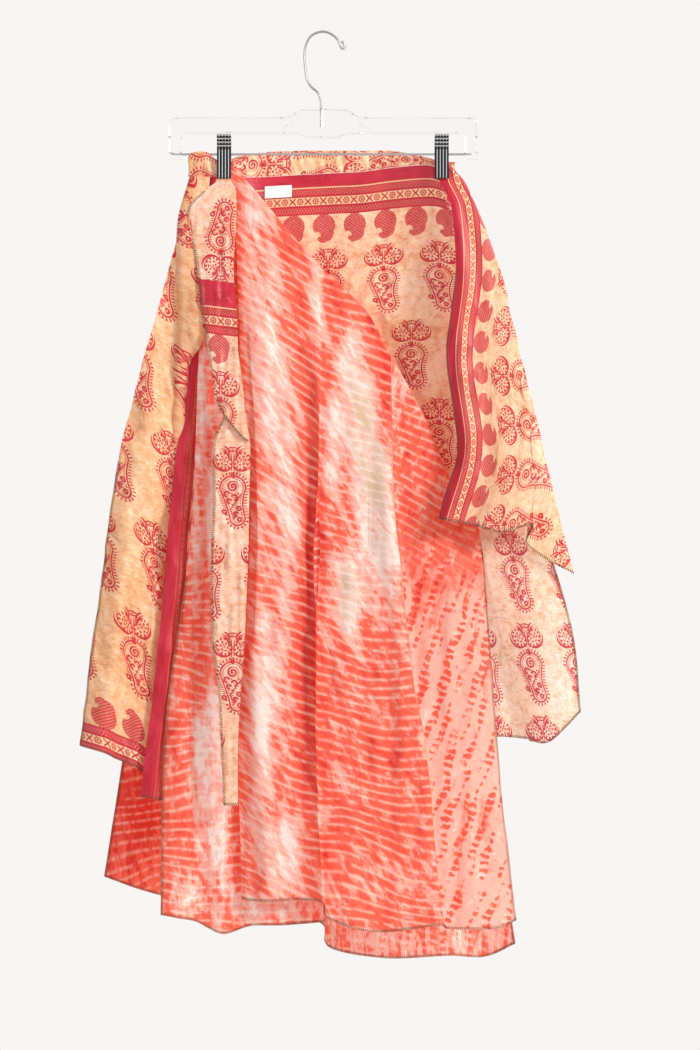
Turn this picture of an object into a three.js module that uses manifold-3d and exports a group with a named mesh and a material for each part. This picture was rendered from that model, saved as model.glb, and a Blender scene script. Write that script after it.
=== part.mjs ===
// A wrap skirt of two layers, a long tie-dyed one and a short printed one, hung from a clip hanger.
// Millimetres, +X to the viewer's right, +Y away from the viewer, +Z up.
// The origin is where the hook rests on a rail: the inner top of its loop.
import * as THREE from 'three';
import Module from 'manifold-3d';
import { mergeVertices } from 'three/addons/utils/BufferGeometryUtils.js';

// ---- Driving dimensions -------------------------------------------------------------------------
const CLOTH = 1.2; // wall of one cloth panel
const BAND = 1.6; // wall of the folded waistband
const GAP = 0.45; // clear space at a seam
const HANGER_WIDTH = 356;
const ROD = { z: -140, radius: 1.3, left: -175, right: 170.5 };
const WIRE = 1.4; // radius of the hook's wire
const CLIP = { width: 16, top: -118, bottom: -168.5, plate: 1.8, left: -114, right: 136.5 };
const JAW_FACE = { front: -6.35, back: 4.85 }; // depth of the faces that pinch the cloth
const SIGHT = { x: 31, distance: 3500, z: -567 }; // where the front view below is taken from

const scene = new THREE.Group();

// ---- Colours ------------------------------------------------------------------------------------
const finish = (color, roughness, metalness = 0) =>
  new THREE.MeshStandardMaterial({ color, roughness, metalness });
const CORAL = finish(0xf4604a, 0.62);
const CORAL_DEEP = finish(0xee4a38, 0.62);
const PRINT = finish(0xe6c08c, 0.6);
const PRINT_PALE = finish(0xefcfa4, 0.6);
const CRIMSON = finish(0xb8173f, 0.5);
const LABEL = finish(0xf7f5f2, 0.8);
const PLASTIC = finish(0xf3f5f6, 0.15);
const CHROME = finish(0xb9bbbe, 0.25, 1);
const STEEL = finish(0xa8aaac, 0.3, 1);

// ---- Curves through short tables ------------------------------------------------------------------
/** Smooth value at t through `values` set at the rising places `at` (cubic, tangents from the neighbours). */
function through(at, values, t) {
  const last = at.length - 1;
  let k = 0;
  while (k < last - 1 && t > at[k + 1]) k += 1;
  const span = at[k + 1] - at[k];
  const s = THREE.MathUtils.clamp((t - at[k]) / span, 0, 1);
  const slope = (i) => {
    const a = Math.max(i - 1, 0);
    const b = Math.min(i + 1, last);
    return (values[b] - values[a]) / (at[b] - at[a]);
  };
  const [m0, m1] = [slope(k) * span, slope(k + 1) * span];
  const [s2, s3] = [s * s, s * s * s];
  return (
    (2 * s3 - 3 * s2 + 1) * values[k] +
    (s3 - 2 * s2 + s) * m0 +
    (3 * s2 - 2 * s3) * values[k + 1] +
    (s3 - s2) * m1
  );
}

const steps = (n) => Array.from({ length: n + 1 }, (_, i) => i / n);
const finerAtTop = (n) => steps(n).map((share) => share ** 1.6);
const smooth = (a, b, t) => THREE.MathUtils.smoothstep(t, a, b);

/** A point given where it shows on the hanger's plane, moved along its line of sight to depth y. */
function seen(x, y, z) {
  const scale = (SIGHT.distance + y) / SIGHT.distance;
  return new THREE.Vector3(SIGHT.x + (x - SIGHT.x) * scale, y, SIGHT.z + (z - SIGHT.z) * scale);
}

/**
 * The surface of a hanging panel. `panel.at` holds the shares of the way down; each of `panel.folds` is a
 * fold line from left to right: x at those shares, z of its two ends, and its depth y at those shares.
 */
function hanging(panel) {
  const across = steps(panel.folds.length - 1);
  return (u, v) => {
    const down = panel.folds.map(({ x, z, y }) => [
      through(panel.at, x, v),
      through(panel.at, y, v),
      z[0] + (z[1] - z[0]) * v,
    ]);
    return seen(...[0, 1, 2].map((axis) => through(across, down.map((p) => p[axis]), u)));
  };
}

const fold = (x, z, y) => ({ x, z, y });

// ---- Solids -----------------------------------------------------------------------------------------
/** Closes a grid surface into a wall of the given thickness, turned so that its faces point out. */
function wall(surface, us, vs, thickness) {
  const [rows, columns] = [vs.length, us.length];
  const mid = vs.map((v) => us.map((u) => surface(u, v)));
  const normal = (i, j) => {
    const du = new THREE.Vector3().subVectors(
      mid[i][Math.min(j + 1, columns - 1)], mid[i][Math.max(j - 1, 0)]);
    const dv = new THREE.Vector3().subVectors(
      mid[Math.min(i + 1, rows - 1)][j], mid[Math.max(i - 1, 0)][j]);
    return du.cross(dv).normalize();
  };
  const points = [];
  for (const side of [0.5, -0.5]) {
    for (let i = 0; i < rows; i += 1) {
      for (let j = 0; j < columns; j += 1) {
        points.push(mid[i][j].clone().addScaledVector(normal(i, j), side * thickness));
      }
    }
  }
  const at = (side, i, j) => (side * rows + i) * columns + j;
  const faces = [];
  const quad = (a, b, c, d) => faces.push(a, b, c, a, c, d);
  for (let i = 0; i < rows - 1; i += 1) {
    for (let j = 0; j < columns - 1; j += 1) {
      quad(at(0, i, j), at(0, i, j + 1), at(0, i + 1, j + 1), at(0, i + 1, j));
      quad(at(1, i, j), at(1, i + 1, j), at(1, i + 1, j + 1), at(1, i, j + 1));
    }
  }
  for (let j = 0; j < columns - 1; j += 1) {
    quad(at(0, 0, j), at(1, 0, j), at(1, 0, j + 1), at(0, 0, j + 1));
    quad(at(0, rows - 1, j), at(0, rows - 1, j + 1), at(1, rows - 1, j + 1), at(1, rows - 1, j));
  }
  for (let i = 0; i < rows - 1; i += 1) {
    quad(at(0, i, 0), at(0, i + 1, 0), at(1, i + 1, 0), at(1, i, 0));
    quad(at(0, i, columns - 1), at(1, i, columns - 1), at(1, i + 1, columns - 1), at(0, i + 1, columns - 1));
  }
  return outward(points, faces);
}

/** An indexed geometry with its faces turned out. */
function outward(points, faces) {
  let volume = 0;
  for (let f = 0; f < faces.length; f += 3) {
    const [a, b, c] = [points[faces[f]], points[faces[f + 1]], points[faces[f + 2]]];
    volume += a.dot(new THREE.Vector3().crossVectors(b, c));
  }
  if (volume < 0) {
    for (let f = 0; f < faces.length; f += 3) [faces[f], faces[f + 1]] = [faces[f + 1], faces[f]];
  }
  const geometry = new THREE.BufferGeometry().setFromPoints(points);
  geometry.setIndex(faces);
  return geometry;
}

/** Lofts closed sections, each a list of points in the same order, and caps both ends. */
function loft(sections) {
  const seenFromAbove = sections[0].map((p) => new THREE.Vector2(p.x, p.y));
  if (THREE.ShapeUtils.isClockWise(seenFromAbove)) sections.forEach((section) => section.reverse());
  const points = sections.flat();
  const n = sections[0].length;
  const faces = [];
  for (let i = 0; i < sections.length - 1; i += 1) {
    for (let k = 0; k < n; k += 1) {
      const [a, b] = [i * n + k, i * n + ((k + 1) % n)];
      faces.push(a, b, b + n, a, b + n, a + n);
    }
  }
  const first = sections[0].map((p) => new THREE.Vector2(p.x, p.y));
  for (const [a, b, c] of THREE.ShapeUtils.triangulateShape(first, [])) {
    const end = (sections.length - 1) * n;
    faces.push(c, b, a, end + a, end + b, end + c);
  }
  return outward(points, faces);
}

function add(name, geometry, material) {
  const mesh = new THREE.Mesh(geometry, material);
  mesh.name = name;
  scene.add(mesh);
  return mesh;
}

const wasm = await Module();
wasm.setup();

function solid(geometry) {
  const bare = geometry.clone();
  for (const key of Object.keys(bare.attributes)) {
    if (key !== 'position') bare.deleteAttribute(key);
  }
  const merged = mergeVertices(bare, 1e-4);
  return new wasm.Manifold(new wasm.Mesh({
    numProp: 3,
    vertProperties: merged.attributes.position.array,
    triVerts: new Uint32Array(merged.index.array),
  }));
}

function geometryOf(manifold) {
  const mesh = manifold.getMesh();
  const geometry = new THREE.BufferGeometry();
  geometry.setAttribute('position', new THREE.BufferAttribute(mesh.vertProperties, 3));
  geometry.setIndex(new THREE.BufferAttribute(mesh.triVerts, 1));
  return geometry;
}

// ---- Waistband --------------------------------------------------------------------------------------
// Its path seen from above: from the right end behind the rod, bowed back, past the left clip, and round
// a fold at the left into the front leaf. Columns: x, y, z of the top edge, z of the bottom edge.
const BAND_PATH = [
  [152, 4.2, -148, -158],
  [136, 3.2, -148, -157],
  [120, 4.6, -143, -151.5],
  [81, 17, -134, -153],
  [45, 24, -133, -157],
  [8, 27, -132.5, -158.5],
  [-35, 25, -133, -161],
  [-73, 17, -136, -164],
  [-98, 5.2, -142, -165.5],
  [-113, 3.2, -146.5, -166],
  [-134, 3.4, -144, -166],
  [-150, 2.4, -144, -166],
  [-155, -0.6, -144, -166],
  [-151, -3.7, -138.5, -166],
  [-135, -3.7, -137.5, -166],
  [-121, -2.6, -147, -166],
  [-103, -2.25, -149, -166],
];
const BAND_AT = steps(BAND_PATH.length - 1);

/** The waistband's middle at share t of its path and share w of its height, 0 at the top edge. */
function band(t, w) {
  const [x, y, top, bottom] = [0, 1, 2, 3].map((c) => through(BAND_AT, BAND_PATH.map((r) => r[c]), t));
  return new THREE.Vector3(x, y, top + (bottom - top) * w);
}

add('waistband', wall(band, steps(56), steps(3), BAND), PRINT);

/** Bends a panel's upper rows so that its top edge lies along the given line. */
function sewn(surface, seam, reach) {
  return (u, v) => {
    const point = surface(u, v);
    const fade = 1 - smooth(0, reach, v);
    return fade > 0 ? point.addScaledVector(seam(u).sub(surface(u, 0)), fade) : point;
  };
}

// The back panels hang from the band's bottom edge between the clips.
const BACK_SPAN = { from: 8.3 / 16, to: 1.85 / 16, pinched: 1 / 16 }; // shares of the band's path, left to right
const backSeam = (offset, to = BACK_SPAN.to) => (u) => {
  const point = band(BACK_SPAN.from + (to - BACK_SPAN.from) * u, 1);
  point.y += offset;
  point.z -= GAP;
  return point;
};

// ---- Panels: tables of fold lines from left to right ---------------------------------------------------
const CORAL_BACK = {
  at: [0, 0.12, 0.25, 0.5, 0.75, 1],
  folds: [
    fold([-109, -140, -170, -206, -222, -252], [-166, -972], [4, 12, 17, 22, 28, 30]),
    fold([-82, -96, -109, -137, -169, -197], [-165, -991], [14, 22, 28, 34, 38, 44]),
    fold([-50, -60, -70, -91, -112, -132], [-163, -1006], [22, 28, 30, 36, 42, 38]),
    fold([-17, -20, -22, -24, -20, -8], [-161, -1023], [27, 34, 38, 44, 48, 54]),
    fold([15, 15, 15, 14, 12, 8], [-159, -1054], [28, 33, 36, 44, 52, 46]),
    fold([47, 50, 54, 61, 68, 75], [-157, -1066], [25, 33, 38, 46, 50, 58]),
    fold([79, 88, 96, 112, 128, 144], [-153, -1063], [18, 29, 34, 42, 50, 46]),
    fold([107, 116, 124, 140, 158, 187], [-151, -1064], [8, 22, 28, 36, 42, 52]),
    fold([131, 144, 154, 164, 180, 222], [-156, -1049], [4, 16, 20, 25, 28, 30]),
  ],
};
const PRINTED_BACK = {
  at: [0, 0.14, 0.35, 0.7, 1],
  folds: [
    fold([-108, -111, -114, -124, -134], [-166, -845], [3, 5, 8, 12, 14]),
    fold([-77, -79, -82, -86, -91], [-165, -848], [15, 15, 17, 20, 24]),
    fold([-43, -44, -44, -45, -46], [-162, -845], [24, 24, 23, 25, 22]),
    fold([-6, -4, -1, 3, 8], [-159, -849], [27, 28, 27, 27, 32]),
    fold([31, 34, 38, 45, 52], [-158, -846], [26, 25, 25, 26, 24]),
    fold([68, 73, 80, 90, 102], [-155, -849], [20, 23, 24, 26, 30]),
    fold([103, 117, 126, 134, 142], [-151, -846], [9, 12, 15, 18, 20]),
    fold([136, 162, 172, 178, 180], [-156, -847], [3, 7, 9, 12, 14]),
  ],
};
const CORAL_FRONT = {
  at: [0, 0.06, 0.25, 0.5, 0.75, 1],
  folds: [
    fold([-116, -103, -96, -83, -97, -94], [-148, -998], [-3.95, -4.6, -16, -26, -34, -42]),
    fold([-110, -96, -88, -75, -89, -81], [-150, -1000], [-3.95, -4.8, -19, -30, -38, -47]),
    fold([-70, -70, -75, -70, -75, -60], [-194, -1001], [-6, -9, -24, -34, -44, -54]),
    fold([-38, -33, -24, -17, -26, -30], [-232, -999], [-6, -8, -17, -25, -34, -41]),
    fold([-9, -7, -5, -8, -7, -1], [-264, -1003], [-9, -12, -24, -35, -46, -55]),
    fold([-5, -2, 0, -2, -1, 3], [-270, -1018], [-9, -11, -20, -28, -37, -44]),
    fold([25, 26, 30, 31, 31, 35], [-297, -1032], [-10, -13, -23, -32, -41, -51]),
    fold([54, 54, 54, 59, 66, 73], [-328, -1036], [-10, -12, -20, -28, -36, -45]),
    fold([75, 75, 76, 93, 115, 132], [-369, -1029], [-11, -15, -25, -35, -45, -55]),
    fold([84, 85, 90, 106, 127, 143], [-384, -1032], [-11, -13, -18, -26, -34, -43]),
    fold([118, 123, 132, 146, 164, 183], [-446, -1033], [-11, -14, -22, -31, -39, -48]),
    fold([149, 153, 162, 175, 189, 207], [-521, -1030], [-9, -11, -17, -24, -31, -39]),
    fold([180, 184, 191, 199, 209, 223], [-573, -1022], [-6, -8, -13, -19, -25, -31]),
  ],
};
const CORAL_UNDER = {
  at: [0, 0.1, 0.25, 0.5, 0.75, 1],
  folds: [
    fold([-119, -132, -143, -153, -182, -187], [-150, -1016], [0.95, -7.5, -13, -24, -34, -42]),
    fold([-117, -128, -136, -143, -164, -167], [-150, -1020], [0.95, -8, -15, -27, -37, -46]),
    fold([-115, -122, -127, -132, -144, -146], [-150, -1024], [0.95, -5, -10, -20, -29, -36]),
    fold([-113, -116, -118, -116, -119, -116], [-150, -1038], [0.95, -5, -12, -22, -32, -40]),
    fold([-111, -110, -106, -96, -91, -84], [-150, -1029], [0.95, -3, -7, -13, -21, -28]),
    fold([-109, -105, -96, -75, -61, -44], [-150, -1028], [0.95, -2, -7, -13, -20, -28]),
    fold([-107, -100, -86, -54, -24, 3], [-150, -1024], [0.95, -1, -5, -10, -16, -22]),
  ],
};
const BORDER = {
  at: [0, 0.12, 0.25, 0.38, 0.5, 0.75, 1],
  folds: [
    fold([-130.5, -139, -151, -162.5, -174, -190, -211], [-166.1, -880], [1.5, 1, -6, -13, -19, -29, -36]),
    fold([-127, -136, -144, -155, -165, -180, -200], [-166.1, -882], [1.5, 1, -6, -14, -20, -31, -38]),
    fold([-123.5, -133, -140, -149, -157, -171, -191], [-166.1, -884], [1.4, 1, -4, -11, -17, -27, -34]),
    fold([-120, -130, -136, -142, -147, -162, -179], [-166.1, -884], [1.4, 1.5, -3, -8, -14, -23, -30]),
  ],
};
const LEFT_DRAPE = {
  at: [0, 0.08, 0.25, 0.32, 0.5, 0.75, 1],
  folds: [
    fold([-153, -165, -194, -207, -234, -257, -278], [-166.8, -821], [2.4, -4, -16, -18, -24, -30, -36]),
    fold([-150, -161, -180, -190, -212, -236, -257], [-166.8, -828], [3, -2, -14, -18, -32, -40, -48]),
    fold([-148, -154, -166, -173, -194, -219, -242], [-166.8, -835], [3.2, 1, -8, -12, -20, -28, -34]),
    fold([-146, -149, -153, -164, -180, -203, -230], [-166.8, -840], [3.3, 1, -3, -7, -11, -18, -27]),
    fold([-149, -163, -161, -165, -172, -194, -220], [-166.8, -844], [-1.2, -12, -18, -16, -9, -16, -25]),
    fold([-143, -154, -150, -162, -166, -187, -212], [-166.8, -850], [-1.2, -15, -22, -17, -6, -11, -20]),
    fold([-137, -143, -140, -160, -160, -180, -204], [-166.8, -853], [-1.2, -10, -20, -13, -3, -7, -16]),
    fold([-131, -136, -136, -158.5, -153, -169, -191], [-166.8, -856], [-1.2, -8, -17.5, -10, -1, -4, -12]),
  ],
};
const RIGHT_FLAP = {
  at: [0, 0.05, 0.12, 0.3, 0.55, 0.8, 1],
  folds: [
    fold([131, 134, 147, 152, 142, 153, 132], [-149, -559], [-3.95, -3.9, -14, -24, -30, -36, -42]),
    fold([133, 138, 153, 162, 159, 166, 143], [-149, -562], [-3.95, -3.9, -17, -29, -36, -44, -50]),
    fold([135, 143, 159, 177, 182, 188, 172], [-149, -567], [-3.95, -3.9, -14, -22, -28, -34, -40]),
    fold([137, 149, 167, 190, 204, 211, 204], [-149, -575], [-3.95, -4.2, -15, -25, -33, -40, -46]),
    fold([139, 158, 176, 204, 226, 243, 243], [-149, -567], [-3.95, -7, -14, -21, -27, -31, -33]),
    fold([141, 160, 175, 201, 221, 236, 234], [-149, -588], [-3.95, -6, -11, -15, -20, -23, -25]),
    fold([142, 162, 175, 204, 230, 253, 262], [-149, -609], [-3.95, -5, -10, -13, -17, -19, -21]),
    fold([143, 164, 176, 207, 238, 266, 289], [-149, -623], [-3.95, -4.5, -8, -10, -13, -15, -17]),
  ],
};
const RIGHT_DRAPE = {
  at: [0, 0.15, 0.4, 0.65, 0.85, 1],
  folds: [
    fold([131, 152, 150, 156, 165, 172], [-151, -811], [-2.35, 1, 3, 3, 2, 1]),
    fold([132, 154, 159, 174, 195, 210], [-151, -811], [-2.35, 0, 0, -1, -3, -5]),
    fold([134, 156, 183, 218, 246, 256], [-151, -816], [-2.35, 1, 3, 4, 4, 4]),
    fold([135, 158, 184, 221, 250, 259], [-151, -816], [-2.35, 0, 0, 0, -1, -1]),
    fold([137, 156, 165, 187, 215, 243], [-151, -816], [-2.35, -1.5, -3, -7, -9, -10]),
    fold([138, 156, 163, 184, 212, 240], [-151, -816], [-2.35, -2, -5, -10, -14, -15]),
    fold([139, 157, 181, 213, 244, 262], [-151, -816], [-2.35, -2, -5, -11, -16, -18]),
    fold([142, 160, 204, 250, 287, 297], [-151, -782], [-2.35, -1, -2, -6, -10, -12]),
  ],
};

// ---- Cloth ----------------------------------------------------------------------------------------------
const printedBack = sewn(hanging(PRINTED_BACK), backSeam(-0.78, BACK_SPAN.pinched), 0.3);
const coralBack = sewn(hanging(CORAL_BACK), backSeam(0.78), 0.25);

// The front panel's slanted top edge rolls over softly to the back, from nothing at the clip.
const ROLL = { radius: 2.4, flap: 12, rows: 6 };
const coralFrontFace = hanging(CORAL_FRONT);
const rollRows = steps(ROLL.rows).slice(0, -1).map((share) => share - 1);

/** The front panel, where v below 0 runs back round the roll and down behind the edge. */
function coralFront(u, v) {
  if (v >= 0) return coralFrontFace(u, v);
  const share = smooth(0.06, 0.3, u) * (1 - smooth(0.84, 0.98, u)) * 0.94 + 0.06;
  const edge = coralFrontFace(u, 0);
  const down = coralFrontFace(u, 0.02).sub(edge).normalize();
  const along = coralFrontFace(Math.min(u + 0.01, 1), 0).sub(coralFrontFace(Math.max(u - 0.01, 0), 0));
  const back = along.normalize().cross(down).multiplyScalar(-1);
  back.multiplyScalar(Math.sign(back.y));
  down.crossVectors(along, back).multiplyScalar(-1);
  down.multiplyScalar(-Math.sign(down.z));
  const turn = Math.PI * share * Math.min(-v / 0.7, 1);
  const flap = ROLL.flap * share * Math.max((-v - 0.7) / 0.3, 0);
  const direction = new THREE.Vector3()
    .addScaledVector(down, -Math.cos(turn))
    .addScaledVector(back, Math.sin(turn));
  return edge
    .addScaledVector(back, ROLL.radius * (1 - Math.cos(turn)))
    .addScaledVector(down, -ROLL.radius * Math.sin(turn))
    .addScaledVector(direction, flap);
}

add('coral_back', wall(coralBack, steps(20), finerAtTop(12), CLOTH), CORAL_DEEP);
add('printed_back', wall(printedBack, steps(24), finerAtTop(12), CLOTH), PRINT);
add('coral_under', wall(hanging(CORAL_UNDER), steps(12), steps(14), CLOTH), CORAL);
add('coral_front', wall(coralFront, steps(24), [...rollRows, ...steps(18)], CLOTH), CORAL);
add('border_strip', wall(hanging(BORDER), steps(6), steps(16), CLOTH), CRIMSON);
add('left_drape', wall(hanging(LEFT_DRAPE), steps(21), steps(16), CLOTH), PRINT);
add('right_drape', wall(hanging(RIGHT_DRAPE), steps(18), steps(12), CLOTH), PRINT_PALE);
add('right_flap', wall(hanging(RIGHT_FLAP), steps(16), finerAtTop(14), CLOTH), PRINT_PALE);

// The tie: a strip that hangs from the left clip and turns over once. Its columns: share of the way
// down, x and z of its middle, depth, half its width, and how far it is turned, in half turns.
const TIE = {
  at: [0, 0.027, 0.037, 0.06, 0.15, 0.25, 0.32, 0.36, 0.4, 0.47, 0.6, 0.73, 0.86, 1],
  x: [-113, -114.5, -117, -127, -122, -116, -107, -99, -101, -106, -107, -109, -107, -106],
  z: [-151, -172, -178.5, -199, -285, -355, -415, -450, -478, -530, -620, -715, -800, -894],
  y: [-5.6, -5.55, -7.2, -17, -27, -33, -37, -39, -41, -44, -49, -53, -57, -60],
  half: [6, 9, 16, 26.5, 20.5, 19, 15, 8, 8, 21, 20.5, 17, 11, 8.5],
  turned: [0, 0, 0.01, 0.02, 0.03, 0.05, 0.14, 0.4, 0.84, 0.97, 1, 1, 1, 1],
};

/** The tie's middle surface: a straight cut across it swings round as it turns over. */
function tie(u, v) {
  const [x, z, y, half, turned] = ['x', 'z', 'y', 'half', 'turned'].map((key) => through(TIE.at, TIE[key], v));
  const swing = turned * Math.PI;
  const side = (2 * u - 1) * half;
  return seen(x + side * Math.cos(swing), y + side * Math.sin(swing) * 0.9, z);
}

add('tie', wall(tie, steps(4), steps(34), CLOTH), PRINT);

// The care label lies on the inner face of the printed back, made from its points and moved out.
const LABEL_SPREAD = { u: [0.2, 0.33], v: [0.008, 0.026], wall: 0.6 };

function careLabel(u, v) {
  const at = (range, t) => range[0] + (range[1] - range[0]) * t;
  const [pu, pv] = [at(LABEL_SPREAD.u, u), at(LABEL_SPREAD.v, v)];
  const point = printedBack(pu, pv);
  const du = printedBack(pu + 0.01, pv).sub(point);
  const dv = printedBack(pu, pv + 0.01).sub(point);
  const out = du.cross(dv).normalize();
  out.multiplyScalar(-Math.sign(out.y));
  return point.addScaledVector(out, CLOTH / 2 + GAP + LABEL_SPREAD.wall / 2);
}

add('care_label', wall(careLabel, steps(6), steps(2), LABEL_SPREAD.wall), LABEL);

// ---- Hanger -----------------------------------------------------------------------------------------------
/** Runs a round section along a path, with rounded-off ends left flat. */
function wire(points, radius, sides, count) {
  const shape = new THREE.Shape();
  shape.absarc(0, 0, radius, 0, Math.PI * 2);
  const path = new THREE.CatmullRomCurve3(points.map(([x, z]) => new THREE.Vector3(x, 0, z)));
  return new THREE.ExtrudeGeometry(shape, {
    curveSegments: sides, steps: count, extrudePath: path, bevelEnabled: false,
  });
}

// The hook: its loop is an arc about the rail, its shank drops into the boss. Columns: x, z.
const HOOK_PATH = [
  [21.5, -9.5], [25, -15], [24, -19.5], [20.5, -17], [17.5, -9], [11, -2.5], [0, 1.4], [-13, -3],
  [-19.5, -13], [-21.5, -26], [-20.5, -40], [-18.5, -54], [-13.5, -62.5], [-6, -69], [-2.7, -78],
  [-2.3, -87], [-2.3, -97], [-2.3, -108],
];
const HOOK_SEAT = { x: -2.3, radius: WIRE + GAP, bottom: -109.5 };
add('hook', wire(HOOK_PATH, WIRE, 5, 48), STEEL);

/** The moulded bar in front view: arms, raised middle boss, and a leg at each end that holds the rod. */
function hangerShape() {
  const half = HANGER_WIDTH / 2;
  const leg = { width: 15, bottom: -146 };
  const bar = { top: -97, bottom: -117 };
  const boss = { top: -87.5, half: 25, foot: 35, bottom: -122, under: 19 };
  const shape = new THREE.Shape();
  shape.moveTo(-half, leg.bottom);
  shape.lineTo(-half, -113);
  shape.quadraticCurveTo(-half, bar.top, -half + 16, bar.top);
  shape.lineTo(-boss.foot, bar.top);
  shape.quadraticCurveTo(-boss.half, boss.top, -boss.half + 8, boss.top);
  shape.lineTo(boss.half - 2, boss.top);
  shape.quadraticCurveTo(boss.half + 6, boss.top, boss.foot + 4, bar.top);
  shape.lineTo(half - 16, bar.top);
  shape.quadraticCurveTo(half, bar.top, half, -113);
  shape.lineTo(half, leg.bottom);
  shape.lineTo(half - leg.width, leg.bottom);
  shape.lineTo(half - leg.width, bar.bottom);
  shape.lineTo(boss.under + 6, bar.bottom);
  shape.lineTo(boss.under, boss.bottom);
  shape.lineTo(-boss.under, boss.bottom);
  shape.lineTo(-boss.under - 6, bar.bottom);
  shape.lineTo(-half + leg.width, bar.bottom);
  shape.lineTo(-half + leg.width, leg.bottom);
  shape.closePath();
  return shape;
}

function hangerBody() {
  const depth = 7;
  const bar = new THREE.ExtrudeGeometry(hangerShape(), {
    depth: depth - 1.6, bevelThickness: 0.8, bevelSize: 0.8, bevelOffset: -0.8, bevelSegments: 1, curveSegments: 6,
  });
  bar.rotateX(Math.PI / 2);
  bar.translate(0, depth / 2 - 0.8, 0);
  const seat = new THREE.CylinderGeometry(HOOK_SEAT.radius, HOOK_SEAT.radius, 40, 12);
  seat.rotateX(Math.PI / 2);
  seat.translate(HOOK_SEAT.x, 0, HOOK_SEAT.bottom + 20);
  const rodBore = new THREE.CylinderGeometry(ROD.radius + GAP, ROD.radius + GAP, ROD.right - ROD.left + 2, 12);
  rodBore.rotateZ(Math.PI / 2);
  rodBore.translate((ROD.left + ROD.right) / 2, 0, ROD.z);
  return geometryOf(solid(bar).subtract(solid(seat)).subtract(solid(rodBore)));
}

add('hanger_body', hangerBody(), PLASTIC);

const rod = new THREE.CylinderGeometry(ROD.radius, ROD.radius, ROD.right - ROD.left, 12);
rod.rotateZ(Math.PI / 2);
add('rod', rod, CHROME).position.set((ROD.left + ROD.right) / 2, 0, ROD.z);

// ---- Clips --------------------------------------------------------------------------------------------------
const RIBS = 4;
const KNURLS = 4;
const GRIP_BOTTOM = -134; // the finger grip lies above this, the ribbed jaw below

/** One jaw: a ribbed plate whose upper part, the finger grip, leans away from the cloth. */
function jaw(x, face, knurled) {
  const side = Math.sign(face);
  const rows = [{ z: CLIP.bottom, lift: 0.2 }, { z: CLIP.bottom + 3, lift: 1 }, { z: GRIP_BOTTOM - 2, lift: 1 }];
  rows.push({ z: GRIP_BOTTOM, lift: 0 });
  const pitch = (CLIP.top - GRIP_BOTTOM) / KNURLS;
  for (let k = 0; knurled && k < KNURLS; k += 1) {
    const z = GRIP_BOTTOM + k * pitch;
    rows.push({ z: z + 0.25 * pitch, lift: 1 }, { z: z + 0.75 * pitch, lift: 1 }, { z: z + pitch, lift: 0 });
  }
  if (!knurled) rows.push({ z: CLIP.top, lift: 0 });
  const rib = CLIP.width / (RIBS * 2 + 1);
  return loft(rows.map(({ z, lift }) => {
    const lean = Math.max(z - GRIP_BOTTOM, 0) * 0.22;
    const inner = face + side * lean;
    const plate = inner + side * CLIP.plate * 0.55;
    const crest = inner + side * CLIP.plate * (0.56 + 0.44 * lift);
    const outline = [new THREE.Vector3(x - CLIP.width / 2, inner, z), new THREE.Vector3(x - CLIP.width / 2, plate, z)];
    for (let k = 0; k < RIBS; k += 1) {
      const from = x - CLIP.width / 2 + rib * (2 * k + 1);
      outline.push(new THREE.Vector3(from, plate, z), new THREE.Vector3(from + 0.25 * rib, crest, z));
      outline.push(new THREE.Vector3(from + 0.75 * rib, crest, z), new THREE.Vector3(from + rib, plate, z));
    }
    outline.push(new THREE.Vector3(x + CLIP.width / 2, plate, z), new THREE.Vector3(x + CLIP.width / 2, inner, z));
    return outline;
  }));
}

/** The clip's spring: a sleeve round the rod between the two jaws. */
function spring() {
  const [inner, outer, half] = [ROD.radius + GAP, JAW_FACE.back - GAP, CLIP.width / 2 - 2.5];
  const profile = [[inner, -half], [outer, -half], [outer, half], [inner, half], [inner, -half]];
  const ring = new THREE.LatheGeometry(profile.map(([r, h]) => new THREE.Vector2(r, h)), 16);
  ring.rotateZ(Math.PI / 2);
  return ring;
}

for (const side of ['left', 'right']) {
  add(`${side}_clip_front`, jaw(CLIP[side], JAW_FACE.front, true), CHROME);
  add(`${side}_clip_back`, jaw(CLIP[side], JAW_FACE.back, false), CHROME);
  add(`${side}_clip_spring`, spring(), STEEL).position.set(CLIP[side], 0, ROD.z);
}

export default scene;
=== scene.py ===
"""A two-layer wrap skirt on a clear clip hanger: dressed cloth, printed border, serged hems and metal clips.

Each panel of cloth is a surface of two shares, u across from left to right and v down from waist to hem, and
is laid out by a short table of fold lines. Sizes are in millimetres until a mesh is written, in metres.
"""
import logging
import math
from dataclasses import dataclass, field
from enum import Enum
from typing import Mapping, Optional, Sequence, Union

import bpy
import numpy as np
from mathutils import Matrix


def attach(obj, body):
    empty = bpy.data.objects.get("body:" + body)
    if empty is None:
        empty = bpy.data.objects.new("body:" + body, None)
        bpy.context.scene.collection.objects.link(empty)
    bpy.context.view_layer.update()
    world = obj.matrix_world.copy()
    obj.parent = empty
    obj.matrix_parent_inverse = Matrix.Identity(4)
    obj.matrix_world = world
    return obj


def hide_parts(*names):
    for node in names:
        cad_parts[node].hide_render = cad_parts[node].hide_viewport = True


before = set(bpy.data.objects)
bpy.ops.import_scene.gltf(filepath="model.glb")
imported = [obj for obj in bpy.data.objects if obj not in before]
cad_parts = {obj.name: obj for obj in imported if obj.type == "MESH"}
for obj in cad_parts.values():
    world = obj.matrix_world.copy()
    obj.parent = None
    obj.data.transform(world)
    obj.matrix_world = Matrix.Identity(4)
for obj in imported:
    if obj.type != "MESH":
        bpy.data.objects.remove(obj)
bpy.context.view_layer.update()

LOG = logging.getLogger("wrap_skirt")
MM = 0.001
BODY = "root"
TAU = 2 * math.pi
WEAVE_PITCH = 1.5
WEAVE_HEIGHT = 0.03
Array = np.ndarray


# ---- Colour and shader trees ---------------------------------------------------------------------


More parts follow.
